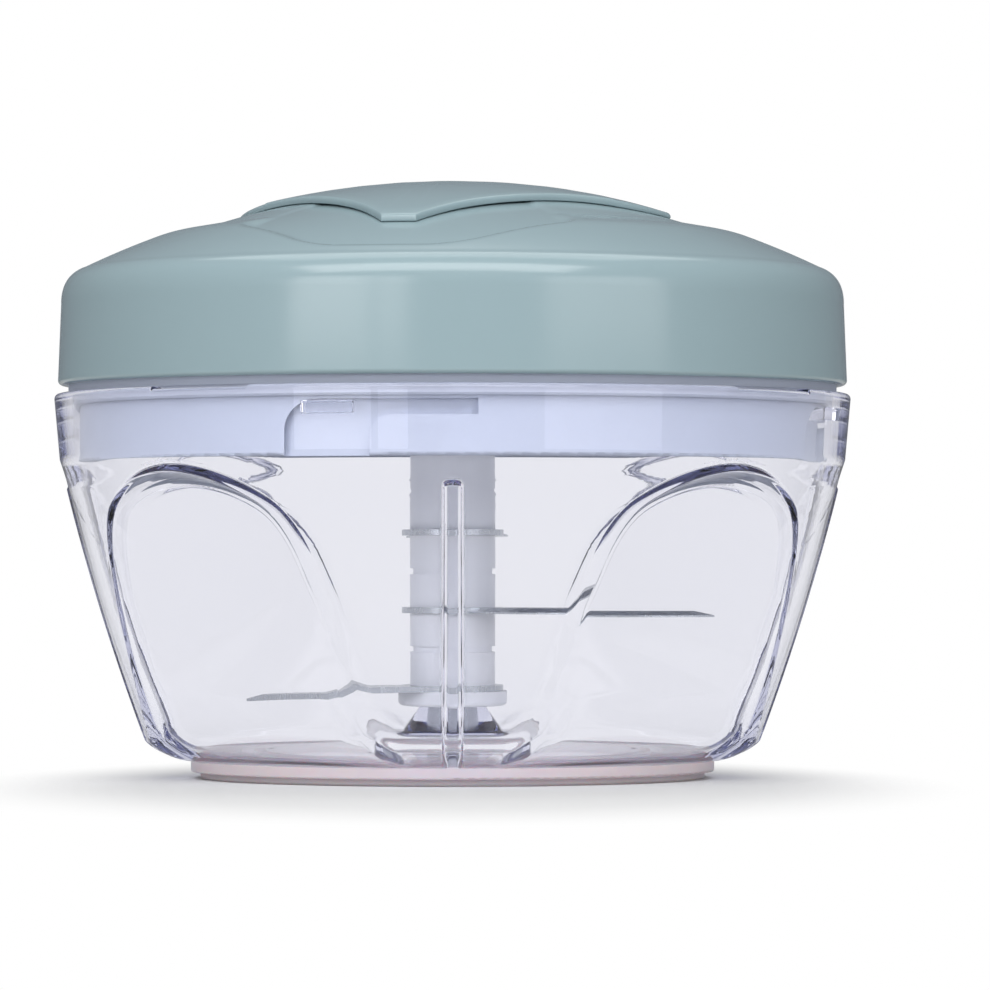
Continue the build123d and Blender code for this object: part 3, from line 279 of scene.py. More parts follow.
def braid_group(name):
    """Crossing strands of a braided cord, with painted shade that darkens the colour in the low grooves between
    strands.
    """
    tree, given, made = start_group(
        name, {"Color": (0.9, 0.9, 0.9, 1.0), "Pitch scale": 900.0}, ("Color", "Height")
    )
    place = object_place(tree)
    strands = []
    for tilt in (0.8, -0.8):
        wave = add(tree, "ShaderNodeTexWave", wave_type="BANDS", bands_direction="Z")
        put(wave, Vector=mapped(tree, place, Rotation=(tilt, tilt, 0.0)), Scale=given["Pitch scale"])
        strands.append(wave.outputs["Fac"])
    weave_and_groove_shade = maths(tree, "MULTIPLY", *strands)
    # Painted shade: the colour is darker where the weave is low, in the grooves between strands.
    tone = maths(tree, "MULTIPLY_ADD", weave_and_groove_shade, 0.3, 0.8)
    put(made, Color=scaled(tree, given["Color"], tone), Height=weave_and_groove_shade)


GROUPS = {
    "Moulded plastic": moulded_plastic_group,
    "Handling marks": handling_marks_group,
    "Brushed steel": brushed_steel_group,
    "Braid": braid_group,
}


def place_group(tree, name, **values):
    """Put a node group, made at its first use, into a material with its own values."""
    if name not in bpy.data.node_groups:
        GROUPS[name](name)
    return put(add(tree, "ShaderNodeGroup", node_tree=bpy.data.node_groups[name]), **values)


# Materials
PEEL_DEPTH = 0.00005
BRAID_DEPTH = 0.0002
MARKS_DULLNESS = 0.12
CLEAR_IOR = 1.40
CLEAR_ROUGHNESS = 0.015
CLEAR_MARKS_DULLNESS = 0.05


def empty_tree(owner):
    """Cleared node tree of a material or a world."""
    owner.use_nodes = True
    owner.node_tree.nodes.clear()
    return owner.node_tree


def start_material(name):
    """New material with its tree, its shader and its output."""
    material = bpy.data.materials.new(name)
    tree = empty_tree(material)
    shader = add(tree, "ShaderNodeBsdfPrincipled")
    output = put(add(tree, "ShaderNodeOutputMaterial"), Surface=shader.outputs[0])
    return material, tree, shader, output


def bump(tree, shader, height, strength, distance):
    """Raise the surface by a height."""
    node = put(add(tree, "ShaderNodeBump"), Height=height, Strength=strength, Distance=distance)
    put(shader, Normal=node.outputs["Normal"])


def finish_plastic(name, base, roughness, spread=0.05, tone=0.04, peel=0.12, **plain):
    """Moulded plastic with its peel, cloudy tone and handling marks; other values go to the shader."""
    if name in bpy.data.materials:
        return bpy.data.materials[name]
    material, tree, shader, _ = start_material(name)
    moulded = place_group(
        tree, "Moulded plastic", Color=base, Tone_spread=tone, Roughness=roughness, Roughness_spread=spread
    ).outputs
    marks = place_group(tree, "Handling marks").outputs["Mask"]
    rough = maths(tree, "MULTIPLY_ADD", marks, MARKS_DULLNESS, moulded["Roughness"])
    put(shader, Base_Color=moulded["Color"], Roughness=rough, **plain)
    bump(tree, shader, moulded["Height"], peel, PEEL_DEPTH)
    return material


def finish_steel(name, base, roughness):
    """Steel with its grinding streaks."""
    if name in bpy.data.materials:
        return bpy.data.materials[name]
    material, tree, shader, _ = start_material(name)
    brushed = place_group(tree, "Brushed steel", Color=base, Roughness=roughness).outputs
    put(shader, Base_Color=brushed["Color"], Metallic=1.0, Roughness=brushed["Roughness"])
    bump(tree, shader, brushed["Height"], 0.1, PEEL_DEPTH)
    return material


def finish_cord(name, base):
    """Braided cord, with painted shade in the grooves between its strands."""
    if name in bpy.data.materials:
        return bpy.data.materials[name]
    material, tree, shader, _ = start_material(name)
    braid = place_group(tree, "Braid", Color=base).outputs
    put(shader, Base_Color=braid["Color"], Roughness=0.85, Sheen_Weight=0.3)
    bump(tree, shader, braid["Height"], 0.8, BRAID_DEPTH)
    return material


def finish_clear(name, tint, depth_tint, depth):
    """Clear plastic that refracts, with faint smudges, and lets the lamps' light through."""
    if name in bpy.data.materials:
        return bpy.data.materials[name]
    material, tree, shader, output = start_material(name)
    marks = place_group(tree, "Handling marks", Share=1.0).outputs["Mask"]
    rough = maths(tree, "MULTIPLY_ADD", marks, CLEAR_MARKS_DULLNESS, CLEAR_ROUGHNESS)
    put(shader, Base_Color=tint, Metallic=0.0, Transmission_Weight=1.0, IOR=CLEAR_IOR, Roughness=rough)
    through = add(tree, "ShaderNodeBsdfTransparent").outputs[0]
    shadow = add(tree, "ShaderNodeLightPath").outputs["Is Shadow Ray"]
    inside = put(add(tree, "ShaderNodeVolumeAbsorption"), Color=depth_tint, Density=depth)
    put(output, Surface=mix_shaders(tree, shadow, shader.outputs[0], through), Volume=inside.outputs[0])
    return material


def sage_plastic(settings):
    """Material of the cover and the handle."""
    return finish_plastic("Sage plastic", settings.sage, settings.gloss, spread=0.06, tone=0.03, peel=0.05)


def white_plastic(settings):
    """Material of the lid base and the handle's plate."""
    return finish_plastic(
        "White plastic", settings.white, 0.5, tone=0.02, peel=0.15, Specular_IOR_Level=0.3
    )


def dress(material, slot, *nodes):
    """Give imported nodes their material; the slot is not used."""
    for node in nodes:
        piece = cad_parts[node]
        piece.data.materials.clear()
        piece.data.materials.append(material)


# Curves and surfaces
def arc_points(start, via, end, count):
    """Points along the arc from start through via to end, in two dimensions, without its start."""
    ax, ay = start
    bx, by = via
    cx, cy = end
    a, b, c = (x * x + y * y for x, y in (start, via, end))
    area = 2 * (ax * (by - cy) + bx * (cy - ay) + cx * (ay - by))
    mx = (a * (by - cy) + b * (cy - ay) + c * (ay - by)) / area
    my = (a * (cx - bx) + b * (ax - cx) + c * (bx - ax)) / area
    radius = math.hypot(ax - mx, ay - my)
    first = math.atan2(ay - my, ax - mx)
    middle = (math.atan2(by - my, bx - mx) - first) % math.tau
    sweep = (math.atan2(cy - my, cx - mx) - first) % math.tau
    if middle > sweep:
        sweep -= math.tau
    turns = [first + sweep * k / count for k in range(1, count + 1)]
    return [(mx + radius * math.cos(t), my + radius * math.sin(t)) for t in turns]


def trace(steps, count):
    """Points of a profile; a step is a point, or a pair of a point to pass and an end."""
    points = [steps[0]]
    for step in steps[1:]:
        if isinstance(step[0], tuple):
            points += arc_points(points[-1], step[0], step[1], count)
        else:
            points.append(step)
    return points


def natural_spline(points, count):
    """Points along a curve through the given points, free at both ends."""
    points = np.array(points)
    run = np.concatenate([[0.0], np.cumsum(np.hypot(*np.diff(points, axis=0).T))])
    gap = np.diff(run)
    last = len(points) - 1
    matrix = np.eye(len(points))
    bend = np.zeros_like(points)
    for k in range(1, last):
        matrix[k, k - 1:k + 2] = (gap[k - 1], 2 * (gap[k - 1] + gap[k]), gap[k])
        bend[k] = 6 * ((points[k + 1] - points[k]) / gap[k] - (points[k] - points[k - 1]) / gap[k - 1])
    second = np.linalg.solve(matrix, bend)
    result = []
    for place in np.linspace(0.0, run[-1], count):
        k = min(np.searchsorted(run, place, side="right") - 1, last - 1)
        before, after = run[k + 1] - place, place - run[k]
        result.append(
            (second[k] * before ** 3 + second[k + 1] * after ** 3) / (6 * gap[k])
            + (points[k] / gap[k] - second[k] * gap[k] / 6) * before
            + (points[k + 1] / gap[k] - second[k + 1] * gap[k] / 6) * after
        )
    return result


def even_runs(*spans):
    """Numbers of several spans, each with its start, its end and its count."""
    return np.concatenate([np.linspace(*span) for span in spans])


def soft_min(a, b, width):
    """Lesser of two arrays, rounded over a width."""
    overlap = np.clip(0.5 + 0.5 * (b - a) / width, 0.0, 1.0)
    return b + (a - b) * overlap - width * overlap * (1.0 - overlap)


def soft_max(a, b, width):
    """Greater of two arrays, rounded over a width."""
    return -soft_min(-a, -b, width)


def step_between(value, low, high):
    """Rises smoothly from none to one between two values."""
    t = np.clip((value - low) / (high - low), 0.0, 1.0)
    return t * t * (3.0 - 2.0 * t)


def step_at(value, edge, soft):
    """Rises smoothly from none to one over an edge."""
    return step_between(value, edge - soft, edge + soft)


def sphere_level(radius, centre, away):
    """Level of a sphere's surface at a distance from the axis."""
    return centre + np.sqrt(radius * radius - away * away)


def solve(function, low, high):
    """Where rising functions of an array pass nothing, by halving."""
    for _ in range(40):
        middle = (low + high) / 2
        above = function(middle) > 0
        high = np.where(above, middle, high)
        low = np.where(above, low, middle)
    return (low + high) / 2


# Meshes
WELD_DISTANCE = 1e-6


def full_turn(count):
    """Evenly spread turns all the way round."""
    return np.linspace(0.0, math.tau, count, endpoint=False)


def around_axis(away, turn, level):
    """Points at a distance from the axis, a turn and a level."""
    return np.stack([away * np.cos(turn), away * np.sin(turn), level + 0 * turn], axis=-1)


def turned_rows(points, count):
    """Rows of points of a profile that goes round the axis."""
    return np.array([around_axis(away, full_turn(count), level) for away, level in points])


def quads(index):
    """Faces between the rows and columns of an array of points' numbers."""
    corners = [index[:-1, :-1], index[:-1, 1:], index[1:, 1:], index[1:, :-1]]
    return np.stack(corners, axis=-1).reshape(-1, 4).tolist()


def sheet_index(sheet, first=0):
    """Numbers of a sheet's points, counted on from a first one."""
    rows, columns = sheet.shape[:2]
    return first + np.arange(rows * columns).reshape(rows, columns)


def new_object(name, points, faces):
    """Object with a new mesh."""
    mesh = bpy.data.meshes.new(name)
    mesh.from_pydata(points, [], faces)
    piece = bpy.data.objects.new(name, mesh)
    bpy.context.scene.collection.objects.link(piece)
    return piece


def weld(piece, distance):
    """Join points that lie on each other, as at a pole or along a seam."""
    work = bmesh.new()
    work.from_mesh(piece.data)
    bmesh.ops.remove_doubles(work, verts=work.verts, dist=distance)
    loose = [edge for edge in work.edges if not edge.link_faces]
    bmesh.ops.delete(work, geom=loose, context="EDGES")
    bmesh.ops.recalc_face_normals(work, faces=work.faces)
    work.to_mesh(piece.data)
    work.free()


def smooth(piece, degrees):
    """Smooth shading up to an angle between faces."""
    piece.data.polygons.foreach_set("use_smooth", [True] * len(piece.data.polygons))
    piece.data.set_sharp_from_angle(angle=math.radians(degrees))


def round_object(name, rows, degrees):
    """Object from rows of points that each go all the way round."""
    index = sheet_index(rows)
    piece = new_object(name, rows.reshape(-1, 3).tolist(), quads(np.hstack([index, index[:, :1]])))
    weld(piece, WELD_DISTANCE)
    smooth(piece, degrees)
    return piece


def finish_piece(piece, material, body, slot, *nodes):
    """Material, body and the nodes that a new piece stands for, which are hidden; the slot is not used."""
    piece.data.materials.append(material)
    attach(piece, body)
    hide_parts(*nodes)


# Clear bowl, sizes in metres. A side is one of four like quarters, with a flat in its middle.
SIDES = 4
SIDE_PITCH = math.tau / SIDES
HALF_PITCH = SIDE_PITCH / 2
WALL = 0.0022
UNDERSIDE = 0.0029
FLOOR = 0.0047
BOWL_TOP = 0.0633
STEP_LEVEL = 0.0491
COLLAR_FOOT = 0.0524
BOSS_TOP = 0.0110
OUTER_STEPS = (
    (0.0, UNDERSIDE), (0.0435, UNDERSIDE), ((0.04764, 0.004148), (0.0504, 0.0061)),
    ((0.05725, 0.02595), (0.0629, 0.0458)), (0.06341, 0.0479), ((0.06373, STEP_LEVEL), (0.0641, 0.0503)),
    (0.0648, COLLAR_FOOT), (0.0657, 0.0624), ((0.06544, 0.06304), (0.0648, BOWL_TOP)),
)
INNER_STEPS = (
    (0.0, BOSS_TOP), (0.0056, BOSS_TOP), (0.0076, FLOOR), (0.0413, FLOOR),
    ((0.04544, 0.0061), (0.0482, 0.0083)), ((0.05505, 0.02595), (0.0607, 0.0458)), (0.06121, 0.0479),
    ((0.06156, STEP_LEVEL), (0.06205, 0.0503)), (0.0630, COLLAR_FOOT), (0.0630, BOWL_TOP),
)
ARC_STEPS = 24
PROFILE_POINTS = 30000
SIDE_START = 0.035
LONGEST_RAY = 0.09
UPRIGHT_MARGIN = 1e-9

FACET_LEAN = math.radians(20.45)
FACET_START = (0.0470, 0.0127)
FACET_HEEL = 0.0360
FACET_HEEL_SHARES = (0.63, 0.42)
FACET_HEAD = 0.08
FACET_TOP = 0.0487
FACET_SHOULDER = 0.0418
FACET_SHOULDER_HALF = 0.0207
FACET_BOTTOM_HALF = 0.0310
FACET_BOTTOM = -0.0050
FACET_CORNER = 0.0040
BELOW_CROWN = 0.01

RIB_HALF = 0.00135
RIB_OUT = 0.0004
RIB_IN = 0.0015
RIB_START = 0.03
RIB_FOOT = 0.0040
RIB_FOOT_SOFT = 0.001
RIB_TOP = 0.0479
RIB_TOP_SOFT = 0.0004
LUG_TURN = math.radians(-17.93)
LUG_RADIUS = 0.062
LUG_HALF = 0.00405
LUG_LOW = 0.05885
LUG_HIGH = 0.06060
LUG_REACH = 0.0021
LUG_SOFT = 0.0001
NOTCH_TURN = math.radians(-38.0)
NOTCH_RADIUS = 0.065
NOTCH_HALF = 0.00975
NOTCH_DEPTH = 0.0004
NOTCH_SOFT = 0.0002
NOTCH_FADE = 0.002

# Lines of the bowl's mesh
BOWL_WELD = 3e-6
BOWL_CREASE = 50.0
FAN_LEVEL = 0.0300
SEAM_LEVEL = 0.0085
CROWN_LEVEL = 0.0250
BORDER_POINTS = 20
RIB_TOP_POINTS = (-0.0006, -0.0003, 0.0, 0.0003, 0.0006)
ARCH_ROOM = 0.0031
ARCH_ROOM_TURNS = (0.21, 0.36)
INNER_LINE = -0.0005
INNER_LINE_SHARES = (0.0, 0.2, 0.4, 0.6, 0.76, 0.88, 0.96)
FOOT_LINES = (INNER_LINE, -0.0002, 0.0, 0.0002)
HEAD_LINES = (-0.0002, 0.0, 0.0002, 0.0004, 0.0008)
HEAD_LEAST = 0.0006
HEAD_MOST = 0.005
LEAST_SQUARE = 1e-6
BETWEEN_SHARES = (0.12, 0.3, 0.5, 0.75)
BORDER_GAPS = (0.0030, 0.0022, 0.0017, 0.0014, 0.0011, 0.0008, 0.0004, 0.0)
BORDER_SQUEEZE = 0.3
RIM_COLUMNS = 76
RIM_POINTS = (-0.0002, -0.0001, 0.0, 0.0001, 0.0002)
RIM_LEAST_TURN = 0.0004
COLLAR_ROWS = 5
COLLAR_LEVELS = (
    (COLLAR_FOOT, 0.0584, 8), (0.0587, 0.0590, 4), (0.0594, 0.0602, 3), (0.06045, 0.06075, 4),
    (0.0610, 0.0622, 4), (0.06235, BOWL_TOP, 9),
)
FAN_SHARES = ((0.0, 0.72, 10), (0.75, 1.0, 26))


def wrapped(turn, start):
    """Angle from the nearest of the four directions that begin with a start."""
    return (turn - start + HALF_PITCH) % SIDE_PITCH - HALF_PITCH


def beside(across, turn, start):
    """Distance beside the nearest of those directions."""
    return across * np.sin(np.abs(wrapped(turn, start)))


def fine_points(points):
    """Profile with many points between its corners, as two arrays."""
    across, up = np.array(points).T
    run = np.concatenate([[0.0], np.cumsum(np.hypot(np.diff(across), np.diff(up)))])
    places = np.linspace(0.0, run[-1], PROFILE_POINTS)
    return np.interp(places, run, across), np.interp(places, run, up)


def side_reach(profile, level):
    """Distance from the axis to a profile at levels above its floor."""
    across, up = profile
    first = np.argmax(across > SIDE_START)
    return np.interp(level, up[first:], across[first:])


def fan_reach(profile, psi):
    """Distance from the fan's point to a profile along directions from straight down."""
    across, up = profile
    around = np.arctan2(across, FAN_LEVEL - up)
    far = np.hypot(across, FAN_LEVEL - up)
    order = np.argsort(around)
    return np.interp(psi, around[order], far[order])


def facet_profile(inset):
    """Side view of one flat as arrays of distance from the axis and level, from the heel upwards."""
    start = (
        FACET_START[0] - inset * math.cos(FACET_LEAN), FACET_START[1] + inset * math.sin(FACET_LEAN)
    )
    heel = (FACET_HEEL, UNDERSIDE if inset == 0 else FLOOR)
    via = tuple(heel[k] + FACET_HEEL_SHARES[k] * (start[k] - heel[k]) for k in (0, 1))
    head = (start[0] + (FACET_HEAD - start[1]) * math.tan(FACET_LEAN), FACET_HEAD)
    return fine_points(trace([heel, (via, start), head], ARC_STEPS))


def arch_distance(across, level, inset, ramp):
    """Distance outside a flat's arch, measured in the flat; less than nothing inside it."""
    grow = inset * (1 - math.sin(ramp)) / math.cos(ramp)
    base = FACET_START[1] + inset * math.sin(FACET_LEAN)
    along = (level - base) / math.cos(FACET_LEAN)
    top = (FACET_TOP - base) / math.cos(FACET_LEAN) + grow
    shoulder = (FACET_SHOULDER - base) / math.cos(FACET_LEAN)
    bottom = (FACET_BOTTOM - base) / math.cos(FACET_LEAN)
    half = FACET_SHOULDER_HALF + grow
    slope = (FACET_BOTTOM_HALF - FACET_SHOULDER_HALF) / (shoulder - bottom)
    side = (np.abs(across) - half - (shoulder - along) * slope) / math.hypot(1, slope)
    circle = (half * half + (top - shoulder) ** 2) / (2 * (top - shoulder))
    crown = np.hypot(across, along - (top - circle)) - circle
    return soft_max(side, np.where(along > top - circle, crown, side - BELOW_CROWN), FACET_CORNER)


def border_over_arch(turn):
    """Level of the border between the flats' part of the mesh and the collar's, raised over each arch."""
    return STEP_LEVEL + ARCH_ROOM * (1.0 - step_between(np.abs(turn), *ARCH_ROOM_TURNS))


def rim_turns():
    """Turns of the columns at the rim over one side, close together at lugs and notches."""
    turns = list(np.linspace(-HALF_PITCH, HALF_PITCH, RIM_COLUMNS + 1))
    for centre, half, radius in ((LUG_TURN, LUG_HALF, LUG_RADIUS), (NOTCH_TURN, NOTCH_HALF, NOTCH_RADIUS)):
        for side in (-half, half):
            turns += [wrapped(centre + (side + step) / radius, HALF_PITCH) for step in RIM_POINTS]
    turns = np.unique(np.round(np.array(turns), 7))
    return turns[np.append(True, np.diff(turns) > RIM_LEAST_TURN)]


class BowlSide:
    """Outer or inner surface of the bowl with its flats, ribs, lugs and notches."""

    def __init__(self, steps, inset, settings):
        self.profile = fine_points(trace(steps, ARC_STEPS))
        self.flat = facet_profile(inset)
        self.inset = inset
        self.settings = settings
        self.ramp = settings.facet_ramp
        self.slope = math.tan(self.ramp) * math.cos(FACET_LEAN)

    def outside_arch(self, across, level):
        """Distance outside the flat's arch."""
        return arch_distance(across, level, self.inset, self.ramp)

    def flat_level(self, level):
        """Distance of the flat from the axis."""
        return np.interp(level, self.flat[1], self.flat[0])

    def round_level(self, across, level):
        """Distance of the round body from the axis's plane, beside the flat's middle."""
        return np.sqrt(np.maximum(side_reach(self.profile, level) ** 2 - across ** 2, LEAST_SQUARE))

    def flat_excess(self, x, y, z):
        """How far a point lies outside the flat and its sloping edge."""
        outside = self.outside_arch(y, z)
        edge = soft_max(outside, np.zeros_like(outside), self.settings.facet_foot) / self.slope
        return x - self.flat_level(z) - edge

    def reach(self, phi, level, psi):
        """Distance to the body and its flats along rays at an angle from straight down."""
        psi = psi + np.zeros_like(phi)
        level = level + np.zeros_like(phi)
        wide, down = np.sin(psi), np.cos(psi)
        upright = psi > math.pi / 2 - UPRIGHT_MARGIN
        body = np.where(upright, side_reach(self.profile, level), fan_reach(self.profile, psi))

        def excess(run):
            return self.flat_excess(run * wide * np.cos(phi), run * wide * np.sin(phi), level - run * down)

        flat = solve(excess, np.zeros_like(phi), np.full_like(phi, LONGEST_RAY))
        return soft_min(body, flat, self.settings.facet_softness)

    def places(self, turn, level, psi=math.pi / 2):
        """Points on the finished surface along rays."""
        reach = self.reach(wrapped(turn, HALF_PITCH), level, psi)
        across = reach * np.sin(psi)
        z = level - reach * np.cos(psi)
        soft = self.settings.rib_softness
        rib = 1.0 - step_between(beside(across, turn, 0.0), RIB_HALF - soft, RIB_HALF + soft / 3)
        rib = rib * step_at(z, RIB_FOOT, RIB_FOOT_SOFT) * (across > RIB_START)
        rib = rib * (1.0 - step_at(z, RIB_TOP, RIB_TOP_SOFT))
        across = across + (-RIB_IN if self.inset else RIB_OUT) * rib
        if self.inset:
            lug = 1.0 - step_at(beside(across, turn, LUG_TURN), LUG_HALF, LUG_SOFT)
            high = step_at(z, LUG_LOW, LUG_SOFT) * (1.0 - step_at(z, LUG_HIGH, LUG_SOFT))
            across = across - LUG_REACH * lug * high
        notch = 1.0 - step_at(beside(across, turn, NOTCH_TURN), NOTCH_HALF, NOTCH_SOFT)
        z = z - NOTCH_DEPTH * notch * step_between(z, BOWL_TOP - NOTCH_FADE, BOWL_TOP)
        return around_axis(across, turn, z)

    def arch_rays(self):
        """Rays from a flat's middle line out to its side's border: start level, border turn, border level."""
        low = np.linspace(SEAM_LEVEL, CROWN_LEVEL, BORDER_POINTS)[:-1]
        high = np.linspace(CROWN_LEVEL, STEP_LEVEL, BORDER_POINTS)[:-2]
        high = np.sort(np.concatenate([high, RIB_TOP + np.array(RIB_TOP_POINTS)]))
        upright = np.concatenate([low, high])
        edge = np.full(len(upright), HALF_PITCH)
        top = rim_turns()
        turn = np.concatenate([-edge, top, edge])
        level = np.concatenate([upright, border_over_arch(top), upright[::-1]])
        return np.minimum(level, CROWN_LEVEL), turn, level

    def arch_patch(self):
        """Turn from the flat's middle and level of a mesh whose lines follow the arch."""
        start, border_turn, border_level = self.arch_rays()
        far = side_reach(self.profile, border_level)
        border = far * np.sin(border_turn)
        long = np.hypot(border, border_level - start)
        way = np.stack([border / long, (border_level - start) / long])

        def at(run):
            """Place beside the flat's middle and level along the rays."""
            return run * way[0], start + run * way[1]

        def line(distance):
            """Where the rays pass a distance outside the arch."""
            return solve(lambda run: self.outside_arch(*at(run)) - distance, np.zeros_like(long), long)

        def turn_of(across, level):
            """Turn at which the surface has a place beside the flat's middle."""
            flat = self.flat_level(level) + np.maximum(self.outside_arch(across, level), 0) / self.slope
            return np.arctan2(across, np.minimum(flat, self.round_level(across, level)))

        # The sloping edge is as wide as the flat lies below the round body at its head.
        head = np.zeros_like(long)
        for _ in range(12):
            across, level = at(line(head))
            width = (self.round_level(across, level) - self.flat_level(level)) * self.slope
            head = 0.5 * head + 0.5 * np.clip(width, HEAD_LEAST, HEAD_MOST)
        runs = [share * line(INNER_LINE) for share in INNER_LINE_SHARES]
        runs += [line(distance) for distance in FOOT_LINES] + [line(0.5 * head)]
        runs += [line(head + distance) for distance in HEAD_LINES]
        lines = [(turn_of(*at(run)), at(run)[1]) for run in runs]
        frames = []
        for gap in BORDER_GAPS:
            turn = border_turn * (1 - gap / far / HALF_PITCH)
            squeeze = 1 - BORDER_SQUEEZE * gap / (STEP_LEVEL - SEAM_LEVEL)
            frames.append((turn, SEAM_LEVEL + (border_level - SEAM_LEVEL) * squeeze))
        outermost = lines[-1]
        for share in BETWEEN_SHARES:
            lines.append(tuple((1 - share) * outermost[k] + share * frames[0][k] for k in (0, 1)))
        turns, levels = zip(*lines, *frames)
        return np.array(turns).T, np.array(levels).T

    def sheets(self):
        """Sheets of points that together make the surface: flats, collar and floor of each side."""
        turns, levels = self.arch_patch()
        rim = rim_turns()
        border = border_over_arch(rim)
        lower = border + np.linspace(0.0, 1.0, COLLAR_ROWS)[:-1, None] * (COLLAR_FOOT - border)
        above = np.concatenate([lower, even_runs(*COLLAR_LEVELS)[:, None] + 0 * rim])
        shares = even_runs(*FAN_SHARES)[:, None]
        sheets = []
        for k in range(SIDES):
            middle = HALF_PITCH + k * SIDE_PITCH
            patch = self.places(middle + turns, levels)
            seam = np.concatenate([patch[0][::-1], patch[-1][1:]])
            seam_turn = np.concatenate([turns[0][::-1], turns[-1][1:]])
            psi = np.arctan2(np.hypot(seam[:, 0], seam[:, 1]), FAN_LEVEL - SEAM_LEVEL)
            fan = self.places(middle + seam_turn + 0 * shares, FAN_LEVEL + 0 * shares * psi, shares * psi)
            fan[-1] = seam
            sheets += [patch, self.places(middle + rim + 0 * above, above), fan]
        return sheets


def make_bowl_mesh(settings):
    """Bowl: outer and inner surface and the rim between them."""
    outer = BowlSide(OUTER_STEPS, 0.0, settings)
    inner = BowlSide(INNER_STEPS, WALL, settings)
    sheets = outer.sheets() + inner.sheets()
    for k in range(SIDES):
        turn = HALF_PITCH + k * SIDE_PITCH + rim_turns()
        level = np.full_like(turn, BOWL_TOP)
        sheets.append(np.stack([outer.places(turn, level), inner.places(turn, level)]))
    points = []
    faces = []
    for sheet in sheets:
        faces += quads(sheet_index(sheet, len(points)))
        points += sheet.reshape(-1, 3).tolist()
    piece = new_object("clear_bowl", points, faces)
    weld(piece, BOWL_WELD)
    smooth(piece, BOWL_CREASE)
    return piece


# Lid cover, sizes in metres
COVER_COLUMNS = 384
COVER_CREASE = 35.0
COVER_INNER = 0.0628
COVER_BOTTOM = 0.0647
DOME_EDGE = 0.0610
DOME_RADIUS = 0.1400
DOME_CENTRE = -0.0421
COVER_SIDE_STEPS = (
    (COVER_INNER, COVER_BOTTOM), (0.0643, COVER_BOTTOM), ((0.06487, 0.06493), (0.0651, 0.0655)),
    (0.0646, 0.0781), ((0.06455, 0.0793), (0.0643, 0.0805)), ((0.06335, 0.08235), (DOME_EDGE, 0.08391)),
)
COVER_LINING_STEPS = (
    (0.0276, 0.0862), (0.0296, 0.0862), (0.0296, 0.0917), ((0.0345, 0.0905), (0.0392, 0.0891)),
    (0.0470, 0.0875), ((0.0530, 0.0852), (0.0587, 0.0826)), (0.0620, 0.0794), (0.0623, 0.0781),
    (COVER_INNER, COVER_BOTTOM),
)
COVER_SIDE_ARC = 9
COVER_LINING_ARC = 6
COVER_RINGS = (
    (DOME_EDGE, 0.0585, 4), (0.0578, 0.0545, 8), (0.0538, 0.0480, 9), (0.0474, 0.0466, 4),
    (0.0458, 0.0398, 9), (0.0394, 0.0388, 3), (0.0378, 0.0286, 8),
)
WELL_RADIUS = 0.0276
WELL_FLOOR = 0.0882
WELL_EDGE = 0.0005
WELL_EDGE_SHARES = (0.35, 0.75, 1.0)
WELL_STEPS = (
    (WELL_RADIUS, WELL_FLOOR + 0.0006), (WELL_RADIUS - 0.0002, WELL_FLOOR + 0.0002),
    (WELL_RADIUS - 0.0006, WELL_FLOOR), (0.0, WELL_FLOOR),
)
RECESS_RADIUS = 0.13075
RECESS_CENTRE = -0.0336
RECESS_KNEE = 0.0392
RECESS_REACH = 0.0470
RECESS_SOFT = 0.0004
TONGUE_RADIUS = 0.1388
TONGUE_REACH = 0.0574
TONGUE_CORNER = (0.0120, 0.0561)
TONGUE_ROOT = (0.0270, 0.0380)
TONGUE_SOFT = 0.004


def tongue_distance(x, y):
    """Distance outside the finger tongues in front of and behind the handle."""
    across, along = np.abs(x), np.abs(y)
    slope = np.subtract(TONGUE_ROOT, TONGUE_CORNER)
    slope = slope / np.hypot(*slope)
    side = (across - TONGUE_CORNER[0]) * -slope[1] + (along - TONGUE_CORNER[1]) * slope[0]
    root = np.array(TONGUE_ROOT) / np.hypot(*TONGUE_ROOT)
    inner = across * root[1] - along * root[0]
    return soft_max(soft_max(side, np.hypot(x, y) - TONGUE_REACH, TONGUE_SOFT), inner, TONGUE_SOFT)


def cover_top(away, turn, crease):
    """Level of the cover's top: dome, recess round the handle and two finger tongues."""
    knee = sphere_level(RECESS_RADIUS, RECESS_CENTRE, RECESS_KNEE)
    edge = sphere_level(DOME_RADIUS, DOME_CENTRE, RECESS_REACH)
    slope = knee + (away - RECESS_KNEE) / (RECESS_REACH - RECESS_KNEE) * (edge - knee)
    recess = np.where(away < RECESS_KNEE, sphere_level(RECESS_RADIUS, RECESS_CENTRE, away), slope)
    top = soft_min(sphere_level(DOME_RADIUS, DOME_CENTRE, away), recess, RECESS_SOFT)
    x = away * np.cos(turn - HANDLE_TURN)
    y = away * np.sin(turn - HANDLE_TURN)
    inside = 1.0 - step_at(tongue_distance(x, y), 0.0, crease)
    tongue = sphere_level(TONGUE_RADIUS, DOME_CENTRE, away)
    return top + inside * np.minimum(tongue - top, 0.0)


def make_cover_mesh(settings):
    """Cover of the lid: side and shoulder, dome with its recess, well and lining."""
    turn = full_turn(COVER_COLUMNS)
    top = []
    for away in (*even_runs(*COVER_RINGS)[1:], WELL_RADIUS + WELL_EDGE):
        level = cover_top(np.full(COVER_COLUMNS, away), turn, settings.crease)
        top.append(around_axis(away, turn, level))
    for share in WELL_EDGE_SHARES:
        bend = share * math.pi / 2
        away = WELL_RADIUS + WELL_EDGE * (1 - math.sin(bend))
        top.append(around_axis(away, turn, level - WELL_EDGE * (1 - math.cos(bend))))
    lining = [(0.0, COVER_LINING_STEPS[0][1])] + trace(COVER_LINING_STEPS, COVER_LINING_ARC)
    rows = np.concatenate([
        turned_rows(trace(COVER_SIDE_STEPS, COVER_SIDE_ARC), COVER_COLUMNS), np.array(top),
        turned_rows(WELL_STEPS, COVER_COLUMNS), turned_rows(lining, COVER_COLUMNS),
    ])
    return round_object("domed_cover", rows, COVER_CREASE)


